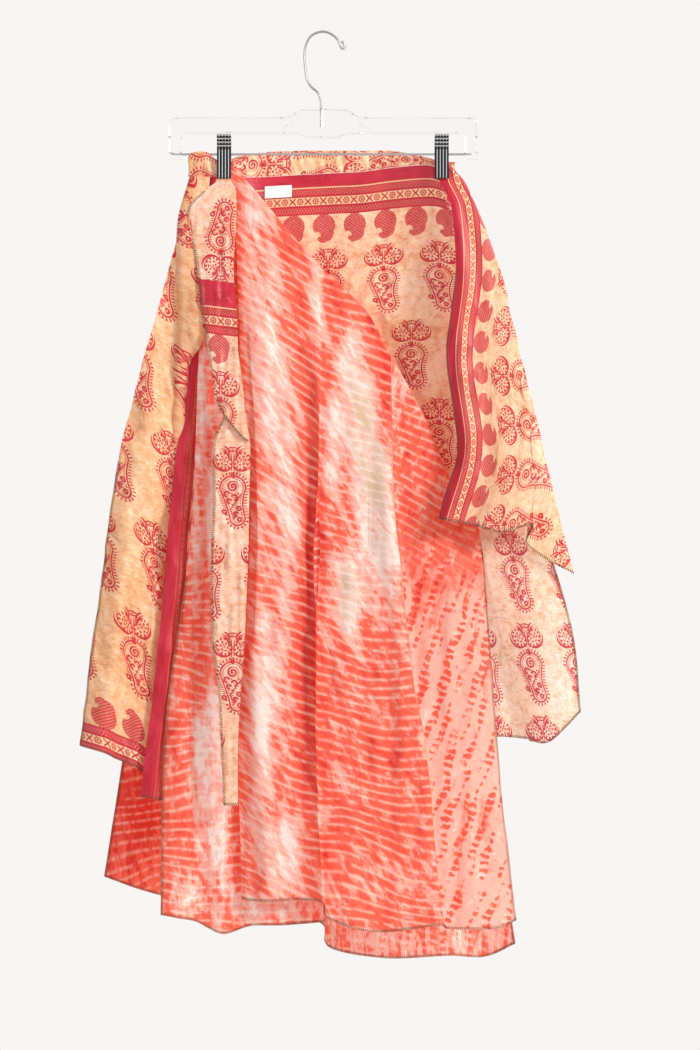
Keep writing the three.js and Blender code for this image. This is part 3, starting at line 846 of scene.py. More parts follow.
def normals(points: Array) -> Array:
    """Unit normals of a grid of points: across the surface, the cross product of its two directions.

    Args:
        points: a grid, rows by columns by 3.

    Returns:
        A unit normal at each point.
    """
    across, down = np.gradient(points, axis=1), np.gradient(points, axis=0)
    out = np.cross(across, down)
    return out / np.maximum(np.linalg.norm(out, axis=-1, keepdims=True), 1e-9)


def raised(points: Array, height: Array) -> Array:
    """Move each point of a grid along its normal, which points to the front, by a height in mm."""
    return points + normals(points) * height[..., None]


def write_mesh(name: str, points: Array, faces: Array, materials: Sequence[bpy.types.Material],
               slot: str) -> bpy.types.Object:
    """Write points in mm and quads into a new object that rides on the skirt's one body.

    Args:
        name: the piece's name.
        points: n by 3.
        faces: m by 4 point numbers.
        materials: its materials.
        slot: the record's material slot; not used.

    Returns:
        The new object.
    """
    mesh = bpy.data.meshes.new(name)
    mesh.from_pydata((points.reshape(-1, 3) * MM).tolist(), [], faces.tolist())
    mesh.polygons.foreach_set("use_smooth", np.ones(len(mesh.polygons), bool))
    for material in materials:
        mesh.materials.append(material)
    obj = bpy.data.objects.new(name, mesh)
    bpy.context.scene.collection.objects.link(obj)
    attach(obj, BODY)
    return obj


def grid_faces(rows: int, columns: int, wrap: bool = False) -> Array:
    """Quads of a grid of rows by columns points; with wrap, the last column joins the first.

    Args:
        rows: rows of points.
        columns: points in a row.
        wrap: whether the last column joins the first.

    Returns:
        Four point numbers for each quad.
    """
    i, j = np.meshgrid(np.arange(rows - 1), np.arange(columns if wrap else columns - 1), indexing="ij")
    k = (j + 1) % columns
    return np.stack([i * columns + j, (i + 1) * columns + j, (i + 1) * columns + k, i * columns + k],
                    -1).reshape(-1, 4)


def write_cloth(name: str, points: Array, s: Array, t: Array, material: bpy.types.Material, slot: str,
                numbers: Optional[Mapping[str, Array]] = None) -> bpy.types.Object:
    """Write a grid surface as cloth, with its cloth coordinates and any numbers kept on its points.

    Args:
        name: the piece's name.
        points: rows by columns by 3, mm.
        s: cloth coordinate along the border, mm.
        t: cloth coordinate away from the border, mm.
        material: its finish.
        slot: the record's material slot.
        numbers: attribute name to a value at each point.

    Returns:
        The new object.
    """
    rows, columns = points.shape[:2]
    obj = write_mesh(name, points, grid_faces(rows, columns), [material], slot)
    mesh = obj.data
    corner = np.empty(len(mesh.loops), np.int32)
    mesh.loops.foreach_get("vertex_index", corner)
    place = np.stack([np.broadcast_to(s, (rows, columns)), np.broadcast_to(t, (rows, columns))], -1)
    uv = mesh.uv_layers.new(name="cloth")
    uv.data.foreach_set("uv", place.reshape(-1, 2)[corner].astype(np.float32).ravel())
    for key, value in (numbers or {}).items():
        kept = mesh.attributes.new(key, "FLOAT", "POINT")
        kept.data.foreach_set("value", np.broadcast_to(value, (rows, columns)).astype(np.float32).ravel())
    LOG.info("%s: %d quads", name, len(mesh.polygons))
    return obj


def tube(path: Array, radius: Union[float, Array], sides: int) -> tuple[Array, Array]:
    """Carry a round profile along a path, with closed ends.

    Args:
        path: n by 3 points, mm.
        radius: the profile's radius, mm, one or n.
        sides: points round the profile.

    Returns:
        Points and quads. The end caps close on a ring of no size.
    """
    path = np.concatenate([path[:1], path, path[-1:]])
    radius = np.broadcast_to(radius, len(path) - 2)
    radius = np.concatenate([[0.0], radius, [0.0]])
    along = np.gradient(path[1:-1], axis=0)
    along = np.concatenate([along[:1], along, along[-1:]])
    along /= np.maximum(np.linalg.norm(along, axis=1, keepdims=True), 1e-9)
    helper = np.where(np.abs(along[:, 1:2]) < 0.9, [[0.0, 1.0, 0.0]], [[1.0, 0.0, 0.0]])
    side = np.cross(along, helper)
    side /= np.maximum(np.linalg.norm(side, axis=1, keepdims=True), 1e-9)
    other = np.cross(side, along)
    turn = np.arange(sides) * TAU / sides
    ring = side[:, None] * np.cos(turn)[:, None] + other[:, None] * np.sin(turn)[:, None]
    points = path[:, None] + ring * radius[:, None, None]
    return points.reshape(-1, 3), grid_faces(len(path), sides, wrap=True)


def joined(parts: Sequence[tuple[Array, Array]]) -> tuple[Array, Array]:
    """Put several sets of points and quads into one."""
    counts = np.cumsum([0] + [len(points) for points, _ in parts])
    return (np.concatenate([points for points, _ in parts]),
            np.concatenate([faces + start for (_, faces), start in zip(parts, counts)]))


@dataclass(frozen=True)
class Serging:
    """The overlocked edge: one thread that loops over the raw edge, wrapped at a steady pitch, mm."""

    pitch: float = 2.3
    reach: float = 1.7
    lift: float = 0.55
    thread: float = 0.34
    steps: int = 6

    def loops(self, edge: Array, inward: Array, out: Array) -> tuple[Array, Array]:
        """Wrap the thread round an edge: a helix flattened on the cloth.

        Args:
            edge: n by 3 points along the edge, mm.
            inward: n by 3 unit vectors from the edge into the cloth.
            out: n by 3 unit normals of the cloth.

        Returns:
            Points and quads of the thread.
        """
        step = np.linalg.norm(np.diff(edge, axis=0), axis=1)
        run = np.concatenate([[0.0], np.cumsum(step)])
        count = max(int(run[-1] / self.pitch), 2)
        where = np.linspace(0, run[-1], count * self.steps)

        def read(values: Array) -> Array:
            """Values along the edge at the thread's places."""
            return np.stack([np.interp(where, run, values[:, k]) for k in range(3)], -1)

        turn = where * TAU / self.pitch
        middle = read(edge) + read(inward) * (self.reach * 0.8)
        path = (middle + read(inward) * (np.cos(turn) * self.reach)[:, None]
                + read(out) * (np.sin(turn) * self.lift)[:, None])
        return tube(path, self.thread, 4)


def edge_of(points: Array, which: str, span: tuple[float, float] = (0.0, 1.0)) -> tuple[Array, Array, Array]:
    """Read one edge of a grid: its points, unit vectors into the cloth, and normals.

    Args:
        points: the grid, mm.
        which: "hem", "top", "left" or "right".
        span: the part of the edge, as shares.

    Returns:
        The edge's points, inward vectors and normals.
    """
    out = normals(points)
    grids = {"hem": (points[-1], points[-3], out[-1]), "top": (points[0], points[2], out[0]),
             "left": (points[:, 0], points[:, 2], out[:, 0]), "right": (points[:, -1], points[:, -3], out[:, -1])}
    edge, inner, out_edge = grids[which]
    inward = inner - edge
    inward /= np.maximum(np.linalg.norm(inward, axis=1, keepdims=True), 1e-9)
    cut = slice(int(span[0] * (len(edge) - 1)), int(span[1] * (len(edge) - 1)) + 1)
    return edge[cut], inward[cut], out_edge[cut]


def serged(name: str, points: Array, edges: Sequence[tuple[str, tuple[float, float]]],
           thread: Optional[bpy.types.Material], slot: str) -> list[bpy.types.Object]:
    """Overlock some edges of a piece.

    Args:
        name: the piece's node.
        points: its grid, mm.
        edges: which edges, each with the part of it that is serged; may be empty.
        thread: the thread's material.
        slot: the record's material slot.

    Returns:
        The thread as one object, or nothing where no edge is given.
    """
    if not edges:
        return []
    loops = joined([Serging().loops(*edge_of(points, which, span)) for which, span in edges])
    return [write_mesh(f"{name}_serging", *loops, [thread], slot)]


# ---- The skirt -----------------------------------------------------------------------------------------

CORAL_FRONT = Panel(
    (0, 0.06, 0.25, 0.5, 0.75, 1),
    (
        Fold((-116, -103, -96, -83, -97, -94), (-148, -998), (-3.95, -4.6, -16, -26, -34, -42)),
        Fold((-110, -96, -88, -75, -89, -81), (-150, -1000), (-3.95, -4.8, -19, -30, -38, -47)),
        Fold((-70, -70, -75, -70, -75, -60), (-194, -1001), (-6, -9, -24, -34, -44, -54)),
        Fold((-38, -33, -24, -17, -26, -30), (-232, -999), (-6, -8, -17, -25, -34, -41)),
        Fold((-9, -7, -5, -8, -7, -1), (-264, -1003), (-9, -12, -24, -35, -46, -55)),
        Fold((-5, -2, 0, -2, -1, 3), (-270, -1018), (-9, -11, -20, -28, -37, -44)),
        Fold((25, 26, 30, 31, 31, 35), (-297, -1032), (-10, -13, -23, -32, -41, -51)),
        Fold((54, 54, 54, 59, 66, 73), (-328, -1036), (-10, -12, -20, -28, -36, -45)),
        Fold((75, 75, 76, 93, 115, 132), (-369, -1029), (-11, -15, -25, -35, -45, -55)),
        Fold((84, 85, 90, 106, 127, 143), (-384, -1032), (-11, -13, -18, -26, -34, -43)),
        Fold((118, 123, 132, 146, 164, 183), (-446, -1033), (-11, -14, -22, -31, -39, -48)),
        Fold((149, 153, 162, 175, 189, 207), (-521, -1030), (-9, -11, -17, -24, -31, -39)),
        Fold((180, 184, 191, 199, 209, 223), (-573, -1022), (-6, -8, -13, -19, -25, -31)),
    ),
)
CORAL_UNDER = Panel(
    (0, 0.1, 0.25, 0.5, 0.75, 1),
    (
        Fold((-119, -132, -143, -153, -182, -187), (-150, -1016), (0.95, -7.5, -13, -24, -34, -42)),
        Fold((-117, -128, -136, -143, -164, -167), (-150, -1020), (0.95, -8, -15, -27, -37, -46)),
        Fold((-115, -122, -127, -132, -144, -146), (-150, -1024), (0.95, -5, -10, -20, -29, -36)),
        Fold((-113, -116, -118, -116, -119, -116), (-150, -1038), (0.95, -5, -12, -22, -32, -40)),
        Fold((-111, -110, -106, -96, -91, -84), (-150, -1029), (0.95, -3, -7, -13, -21, -28)),
        Fold((-109, -105, -96, -75, -61, -44), (-150, -1028), (0.95, -2, -7, -13, -20, -28)),
        Fold((-107, -100, -86, -54, -24, 3), (-150, -1024), (0.95, -1, -5, -10, -16, -22)),
    ),
)
CORAL_BACK = Panel(
    (0, 0.12, 0.25, 0.5, 0.75, 1),
    (
        Fold((-109, -140, -170, -206, -222, -252), (-166, -972), (4, 12, 17, 22, 28, 30)),
        Fold((-82, -96, -109, -137, -169, -197), (-165, -991), (14, 22, 28, 34, 38, 44)),
        Fold((-50, -60, -70, -91, -112, -132), (-163, -1006), (22, 28, 30, 36, 42, 38)),
        Fold((-17, -20, -22, -24, -20, -8), (-161, -1023), (27, 34, 38, 44, 48, 54)),
        Fold((15, 15, 15, 14, 12, 8), (-159, -1054), (28, 33, 36, 44, 52, 46)),
        Fold((47, 50, 54, 61, 68, 75), (-157, -1066), (25, 33, 38, 46, 50, 58)),
        Fold((79, 88, 96, 112, 128, 144), (-153, -1063), (18, 29, 34, 42, 50, 46)),
        Fold((107, 116, 124, 140, 158, 187), (-151, -1064), (8, 22, 28, 36, 42, 52)),
        Fold((131, 144, 154, 164, 180, 222), (-156, -1049), (4, 16, 20, 25, 28, 30)),
    ),
)
PRINTED_BACK = Panel(
    (0, 0.14, 0.35, 0.7, 1),
    (
        Fold((-108, -111, -114, -124, -134), (-166, -845), (3, 5, 8, 12, 14)),
        Fold((-77, -79, -82, -86, -91), (-165, -848), (15, 15, 17, 20, 24)),
        Fold((-43, -44, -44, -45, -46), (-162, -845), (24, 24, 23, 25, 22)),
        Fold((-6, -4, -1, 3, 8), (-159, -849), (27, 28, 27, 27, 32)),
        Fold((31, 34, 38, 45, 52), (-158, -846), (26, 25, 25, 26, 24)),
        Fold((68, 73, 80, 90, 102), (-155, -849), (20, 23, 24, 26, 30)),
        Fold((103, 117, 126, 134, 142), (-151, -846), (9, 12, 15, 18, 20)),
        Fold((136, 162, 172, 178, 180), (-156, -847), (3, 7, 9, 12, 14)),
    ),
)
BORDER_STRIP = Panel(
    (0, 0.12, 0.25, 0.38, 0.5, 0.75, 1),
    (
        Fold((-130.5, -139, -151, -162.5, -174, -190, -211), (-166.1, -880), (1.5, 1, -6, -13, -19, -29, -36)),
        Fold((-127, -136, -144, -155, -165, -180, -200), (-166.1, -882), (1.5, 1, -6, -14, -20, -31, -38)),
        Fold((-123.5, -133, -140, -149, -157, -171, -191), (-166.1, -884), (1.4, 1, -4, -11, -17, -27, -34)),
        Fold((-120, -130, -136, -142, -147, -162, -179), (-166.1, -884), (1.4, 1.5, -3, -8, -14, -23, -30)),
    ),
)
LEFT_DRAPE = Panel(
    (0, 0.08, 0.25, 0.32, 0.5, 0.75, 1),
    (
        Fold((-153, -165, -194, -207, -234, -257, -278), (-166.8, -821), (2.4, -4, -16, -18, -24, -30, -36)),
        Fold((-150, -161, -180, -190, -212, -236, -257), (-166.8, -828), (3, -2, -14, -18, -32, -40, -48)),
        Fold((-148, -154, -166, -173, -194, -219, -242), (-166.8, -835), (3.2, 1, -8, -12, -20, -28, -34)),
        Fold((-146, -149, -153, -164, -180, -203, -230), (-166.8, -840), (3.3, 1, -3, -7, -11, -18, -27)),
        Fold((-149, -163, -161, -165, -172, -194, -220), (-166.8, -844), (-1.2, -12, -18, -16, -9, -16, -25)),
        Fold((-143, -154, -150, -162, -166, -187, -212), (-166.8, -850), (-1.2, -15, -22, -17, -6, -11, -20)),
        Fold((-137, -143, -140, -160, -160, -180, -204), (-166.8, -853), (-1.2, -10, -20, -13, -3, -7, -16)),
        Fold((-131, -136, -136, -158.5, -153, -169, -191), (-166.8, -856), (-1.2, -8, -17.5, -10, -1, -4, -12)),
    ),
)
RIGHT_FLAP = Panel(
    (0, 0.05, 0.12, 0.3, 0.55, 0.8, 1),
    (
        Fold((131, 134, 147, 152, 142, 153, 132), (-149, -559), (-3.95, -3.9, -14, -24, -30, -36, -42)),
        Fold((133, 138, 153, 162, 159, 166, 143), (-149, -562), (-3.95, -3.9, -17, -29, -36, -44, -50)),
        Fold((135, 143, 159, 177, 182, 188, 172), (-149, -567), (-3.95, -3.9, -14, -22, -28, -34, -40)),
        Fold((137, 149, 167, 190, 204, 211, 204), (-149, -575), (-3.95, -4.2, -15, -25, -33, -40, -46)),
        Fold((139, 158, 176, 204, 226, 243, 243), (-149, -567), (-3.95, -7, -14, -21, -27, -31, -33)),
        Fold((141, 160, 175, 201, 221, 236, 234), (-149, -588), (-3.95, -6, -11, -15, -20, -23, -25)),
        Fold((142, 162, 175, 204, 230, 253, 262), (-149, -609), (-3.95, -5, -10, -13, -17, -19, -21)),
        Fold((143, 164, 176, 207, 238, 266, 289), (-149, -623), (-3.95, -4.5, -8, -10, -13, -15, -17)),
    ),
)
RIGHT_DRAPE = Panel(
    (0, 0.15, 0.4, 0.65, 0.85, 1),
    (
        Fold((131, 152, 150, 156, 165, 172), (-151, -811), (-2.35, 1, 3, 3, 2, 1)),
        Fold((132, 154, 159, 174, 195, 210), (-151, -811), (-2.35, 0, 0, -1, -3, -5)),
        Fold((134, 156, 183, 218, 246, 256), (-151, -816), (-2.35, 1, 3, 4, 4, 4)),
        Fold((135, 158, 184, 221, 250, 259), (-151, -816), (-2.35, 0, 0, 0, -1, -1)),
        Fold((137, 156, 165, 187, 215, 243), (-151, -816), (-2.35, -1.5, -3, -7, -9, -10)),
        Fold((138, 156, 163, 184, 212, 240), (-151, -816), (-2.35, -2, -5, -10, -14, -15)),
        Fold((139, 157, 181, 213, 244, 262), (-151, -816), (-2.35, -2, -5, -11, -16, -18)),
        Fold((142, 160, 204, 250, 287, 297), (-151, -782), (-2.35, -1, -2, -6, -10, -12)),
    ),
)


@dataclass(frozen=True)
class DyeAndShadePatch:
    """A soft patch of dye depth, some of them painted shade along folds: its middle and half sizes where it shows, its
    depth of colour, and its hold.
    """

    x: float
    z: float
    wide: float
    tall: float
    depth: float
    hold: float = 1.0


def dye_and_shade_depth(layout: Layout, base: float, patches: Sequence[DyeAndShadePatch]) -> Array:
    """Lay soft patches over a base depth: each pulls towards its own depth by a bell curve of the distance.

    Args:
        layout: the panel's layout.
        base: the depth of colour away from every patch.
        patches: the patches, each laid over those before it.

    Returns:
        The depth of colour at each point.
    """
    out = np.full(layout.x.shape, base)
    for patch in patches:
        near = np.exp(-((layout.x - patch.x) / patch.wide) ** 2 - ((layout.z - patch.z) / patch.tall) ** 2)
        out += (patch.depth - out) * near * patch.hold
    return out


def along_streak(layout: Layout, lean: Array) -> Array:
    """The distance down a streak of dye that falls at `lean` degrees from level, in mm."""
    turn = np.radians(lean)
    return layout.x * np.cos(turn) - layout.z * np.sin(turn)


def pleated(layout: Layout, folds: Sequence[tuple[float, float, float, float, float, float]]) -> Array:
    """Raise soft ridges, or sink grooves, along lines down a panel.

    Each fold is x and z of its start and of its end, its half width and its height: a bell curve of the
    distance from the line, which fades in and out at the ends.

    Args:
        layout: the panel's layout.
        folds: the ridges, mm.

    Returns:
        The height at each point, mm.
    """
    out = np.zeros(layout.x.shape)
    for x0, z0, x1, z1, half, height in folds:
        share = (layout.z - z0) / (z1 - z0)
        away = layout.x - (x0 + (x1 - x0) * np.clip(share, 0, 1))
        ends = smooth(-0.25, 0.12, share) * (1 - smooth(0.88, 1.25, share))
        out += height * np.exp(-((away / half) ** 2)) * ends
    return out


@dataclass
class CoralLayers:
    """The long tie-dyed layer: its front panel, the panel under it, and the back panel."""

    finish: TieDyeCloth = TieDyeCloth("tie_dyed_polyester")
    roll: float = 2.4
    turned: float = 12.0

    def build(self, thread: bpy.types.Material) -> None:
        """Make the three panels and their serged hems.

        Args:
            thread: the serging thread's material.
        """
        material = self.finish.build()
        self._front(material, thread)
        self._under(material, thread)
        self._back(material, thread)

    @staticmethod
    def _dye(layout: Layout, slope: Array, lean: Array, seed: int, pitch: float = 11.0) -> tuple[Array, Array]:
        """Lay the pleats and the streaks out over a panel.

        The phase counts the resist lines above a point, along lines that fall by `slope` to the right and
        waver. The streaks of dye cross them: each falls at `lean` degrees from level, to the right where
        lean is under 90 and to the left where it is over.

        Args:
            layout: the panel's layout.
            slope: fall of the lines in mm for each mm to the right.
            lean: heading of the streaks in degrees.
            seed: which wavering.
            pitch: distance between lines down the cloth, mm.

        Returns:
            The phase, and the distance across the streaks in mm.
        """
        waver = ripples(layout.x, layout.z, 170.0, seed, 0.8, 6) * 5.0
        turn = np.radians(lean)
        across = layout.x * np.sin(turn) + layout.z * np.cos(turn)
        return (-layout.z - layout.x * slope + waver) / pitch, across

    @staticmethod
    def _finish_panel(node: str, points: Array, layout: Layout, numbers: Mapping[str, Array],
                      cut: tuple[float, float, float], thread: bpy.types.Material, material: bpy.types.Material,
                      edges: Sequence[tuple[str, tuple[float, float]]]) -> None:
        """Write a panel with its dye numbers, declare its cut, and serge its edges.

        Args:
            node: the solid that it stands for.
            points: its grid, mm.
            layout: its layout, for the cloth coordinates.
            numbers: the dye's numbers at each point; the wash among them is partly painted shade in folds.
            cut: flat width and length in metres, and flat area in square metres; not used.
            thread: the serging thread's material.
            material: the dyed cloth.
            edges: the edges to serge, each with the part that is serged.
        """
        obj = write_cloth(f"{node}_cloth", points, layout.x, layout.z, material, "tie_dye_cloth", numbers)
        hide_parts(node)
        hems = serged(node, points, edges, thread, "tie_dye_cloth")

    def _front(self, material: bpy.types.Material, thread: bpy.types.Material) -> None:
        """The front panel, with its slanting top edge rolled softly to the back.

        Args:
            material: the dyed cloth.
            thread: the serging thread's material.
        """
        u, v = np.linspace(0, 1, 240), np.linspace(0, 1, 340)
        layout, points = hung(CORAL_FRONT, u, v)
        grow = smooth(0.02, 0.3, layout.v)
        creases = ripples(layout.x, layout.z, 30, 3, 6.0) * 1.3 + ripples(layout.x, layout.z, 13, 4, 3.0) * 0.4
        folds = pleated(layout, ((-16, -420, -10, -640, 9, 4.4), (-20, -700, -4, -930, 8, 4.4),
                                 (-78, -720, -62, -960, 8, -3.4), (36, -330, 60, -520, 10, -2.2),
                                 (-48, -230, -30, -480, 12, 2.4), (30, -480, 44, -820, 12, 2.6),
                                 (120, -560, 176, -980, 14, 2.4), (150, -600, 204, -940, 11, -2.4)))
        points = raised(points, (creases + folds) * grow)
        rolled = self._rolled(points, u)
        points = np.concatenate([rolled, points])
        whole = Layout(*(np.concatenate([np.repeat(part[:1], len(rolled), 0), part])
                         for part in (layout.u, layout.v, layout.x, layout.y, layout.z)))
        right = smooth(8.45 / 12, 8.55 / 12, whole.u)
        low = smooth(-520, -640, whole.z)
        # Patches of dye depth. The deepest, in a line down the panel from x -40 to -12 and along the diagonal under
        # the rolled top edge from x 20 to 135, are partly painted shade in the folds there.
        wash = dye_and_shade_depth(whole, 0.66, (
            DyeAndShadePatch(-86, -225, 24, 55, 0.3), DyeAndShadePatch(-72, -330, 20, 70, 0.28), DyeAndShadePatch(-60, -420, 20, 70, 0.28),
            DyeAndShadePatch(-44, -510, 18, 70, 0.3), DyeAndShadePatch(-34, -600, 17, 60, 0.32), DyeAndShadePatch(-102, -300, 9, 140, 0.85),
            DyeAndShadePatch(-40, -250, 14, 50, 0.85), DyeAndShadePatch(-26, -350, 12, 70, 0.9), DyeAndShadePatch(-14, -460, 11, 70, 0.95),
            DyeAndShadePatch(-12, -560, 11, 70, 1.1), DyeAndShadePatch(-17, -660, 11, 80, 1.3), DyeAndShadePatch(-18, -800, 12, 130, 1.3),
            DyeAndShadePatch(-6, -305, 10, 50, 0.15), DyeAndShadePatch(20, -300, 20, 40, 0.88), DyeAndShadePatch(46, -350, 18, 50, 0.95),
            DyeAndShadePatch(82, -420, 24, 60, 1.6), DyeAndShadePatch(105, -480, 26, 60, 1.6), DyeAndShadePatch(135, -545, 22, 50, 1.3),
            DyeAndShadePatch(32, -385, 13, 50, 0.12), DyeAndShadePatch(46, -440, 20, 60, 0.02), DyeAndShadePatch(62, -520, 22, 70, 0.02),
            DyeAndShadePatch(72, -590, 22, 60, 0.05), DyeAndShadePatch(32, -650, 22, 50, 0.02), DyeAndShadePatch(12, -480, 13, 60, 0.2),
            DyeAndShadePatch(60, -860, 62, 150, 0.8), DyeAndShadePatch(-66, -790, 20, 120, 0.12), DyeAndShadePatch(-96, -660, 10, 120, 0.7),
            DyeAndShadePatch(-40, -940, 24, 50, 0.2), DyeAndShadePatch(-50, -860, 14, 60, 0.7), DyeAndShadePatch(80, -990, 40, 30, 0.6)))
        wash = wash + (dye_and_shade_depth(whole, 0.4, (DyeAndShadePatch(110, -560, 60, 60, 0.85), DyeAndShadePatch(150, -560, 50, 70, 0.8),
                                           DyeAndShadePatch(130, -470, 60, 60, 0.95), DyeAndShadePatch(186, -660, 14, 90, 0.5),
                                           DyeAndShadePatch(120, -640, 16, 60, 0.6), DyeAndShadePatch(190, -900, 30, 60, 0.45)))
                       - wash) * right
        beige = dye_and_shade_depth(whole, 0.0, (DyeAndShadePatch(46, -440, 18, 60, 0.6), DyeAndShadePatch(60, -520, 16, 60, 0.5),
                                    DyeAndShadePatch(-12, -290, 9, 26, 0.6), DyeAndShadePatch(28, -640, 16, 60, 0.5),
                                    DyeAndShadePatch(90, -395, 8, 40, 0.6), DyeAndShadePatch(18, -880, 12, 26, 0.5),
                                    DyeAndShadePatch(30, -770, 12, 30, 0.4))) * (1 - right)
        slope = (0.62 - 0.3 * smooth(3.8 / 12, 5 / 12, whole.u)) * (1 - low) + low * (
            0.45 - 0.27 * smooth(3.8 / 12, 5 / 12, whole.u))
        slope = slope + (0.5 - slope) * right
        lean = 66.0 + right * 42.0
        phase, across = self._dye(whole, slope, lean, 11)
        numbers = {"wash": wash, "beige": beige, "phase": phase, "across": across, "dotted": right * low,
                   "run": along_streak(whole, lean)}
        self._finish_panel("coral_front", points, whole, numbers, (0.39, 0.92, 0.211), thread,
                           material, (("hem", (0.0, 1.0)), ("right", (0.1, 1.0))))

    def _rolled(self, points: Array, u: Array) -> Array:
        """The edge's roll: half a turn to the back, then a short flap behind, from nothing at the clip.

        Args:
            points: the panel's grid, mm.
            u: shares across, a flat array.

        Returns:
            The rolled rows, from the flap's end to the panel's top edge.
        """
        share = (smooth(0.06, 0.3, u) * (1 - smooth(0.84, 0.98, u)) * 0.94 + 0.06)[None, :, None]
        edge = points[0]
        down = points[4] - edge
        down /= np.linalg.norm(down, axis=1, keepdims=True)
        along = np.gradient(edge, axis=0)
        along /= np.linalg.norm(along, axis=1, keepdims=True)
        back = np.cross(along, down)
        back *= np.sign(back[:, 1:2])
        steps = np.linspace(1, 0, 19)[:-1][:, None, None]
        turn = np.minimum(steps / 0.7, 1.0) * math.pi * share
        flap = np.maximum((steps - 0.7) / 0.3, 0.0) * self.turned * share
        heading = down * -np.cos(turn) + back * np.sin(turn)
        return edge + back * self.roll * (1 - np.cos(turn)) - down * self.roll * np.sin(turn) + heading * flap

    def _under(self, material: bpy.types.Material, thread: bpy.types.Material) -> None:
        """The panel under the front one: it shows at the left, beside the tie, and below the hem.

        Args:
            material: the dyed cloth.
            thread: the serging thread's material.
        """
        u, v = np.linspace(0, 1, 130), np.linspace(0, 1, 320)
        layout, points = hung(CORAL_UNDER, u, v)
        creases = ripples(layout.x, layout.z, 26, 7, 8.0) * 0.8 + ripples(layout.x, layout.z, 12, 8, 4.0) * 0.3
        points = raised(points, creases * smooth(0.05, 0.3, layout.v))
        wash = dye_and_shade_depth(layout, 0.8, (
            DyeAndShadePatch(-140, -430, 12, 110, 0.25), DyeAndShadePatch(-128, -560, 8, 70, 0.15), DyeAndShadePatch(-146, -600, 8, 90, 0.4),
            DyeAndShadePatch(-150, -760, 24, 50, 0.75), DyeAndShadePatch(-142, -850, 16, 50, 0.12), DyeAndShadePatch(-165, -900, 16, 60, 0.8),
            DyeAndShadePatch(-128, -800, 10, 60, 0.05), DyeAndShadePatch(-120, -920, 20, 80, 0.15), DyeAndShadePatch(-160, -990, 40, 30, 0.5),
            DyeAndShadePatch(-100, -900, 10, 120, 0.75), DyeAndShadePatch(-60, -1010, 60, 20, 0.35)))
        phase, across = self._dye(layout, np.full(layout.x.shape, 0.02), np.full(layout.x.shape, 84.0), 12)
        numbers = {"wash": wash, "beige": wash * 0.1, "phase": phase, "across": across, "dotted": wash * 0,
                   "run": wash * 0}
        self._finish_panel("coral_under", points, layout, numbers, (0.24, 0.92, 0.075), thread, material,
                           (("hem", (0.0, 1.0)), ("left", (0.55, 1.0))))

    def _back(self, material: bpy.types.Material, thread: bpy.types.Material) -> None:
        """The back panel: it hangs from the waistband and shows below every other hem.

        Args:
            material: the dyed cloth.
            thread: the serging thread's material.
        """
        u, v = np.linspace(0, 1, 230), np.linspace(0, 1, 300)
        layout, points = hung(CORAL_BACK, u, v)
        points = sewn(points, u, v, 0.78, 0.25)
        creases = ripples(layout.x, layout.z, 46, 9, 5.0) * 1.3 + ripples(layout.x, layout.z, 16, 10, 3.0) * 0.4
        points = raised(points, creases * smooth(0.03, 0.25, layout.v))
        # The deepest patch, at the lower left near x -220, is partly painted shade where this panel hangs behind the
        # others.
        wash = dye_and_shade_depth(layout, 0.6, (
            DyeAndShadePatch(-220, -900, 50, 90, 1.25), DyeAndShadePatch(60, -1050, 60, 24, 0.42), DyeAndShadePatch(170, -1040, 50, 24, 0.45),
            DyeAndShadePatch(-60, -400, 50, 140, 0.12), DyeAndShadePatch(60, -600, 60, 140, 0.25), DyeAndShadePatch(110, -700, 36, 120, 0.95),
            DyeAndShadePatch(10, -850, 60, 90, 0.8), DyeAndShadePatch(-100, -600, 36, 140, 0.95), DyeAndShadePatch(20, -350, 30, 90, 0.9),
            DyeAndShadePatch(110, -900, 30, 60, 0.2), DyeAndShadePatch(100, -350, 30, 80, 0.2)))
        beige = dye_and_shade_depth(layout, 0.0, (DyeAndShadePatch(-20, -500, 30, 70, 0.5), DyeAndShadePatch(80, -420, 24, 60, 0.5)))
        phase, across = self._dye(layout, 0.15 + layout.x * 0.0008, 84.0 + layout.x * 0.05, 13)
        numbers = {"wash": wash, "beige": beige, "phase": phase, "across": across, "dotted": wash * 0 + 0.4,
                   "run": along_streak(layout, 84.0)}
        self._finish_panel("coral_back", points, layout, numbers, (0.54, 0.93, 0.347), thread, material,
                           (("hem", (0.0, 1.0)), ("left", (0.6, 1.0)), ("right", (0.6, 1.0))))


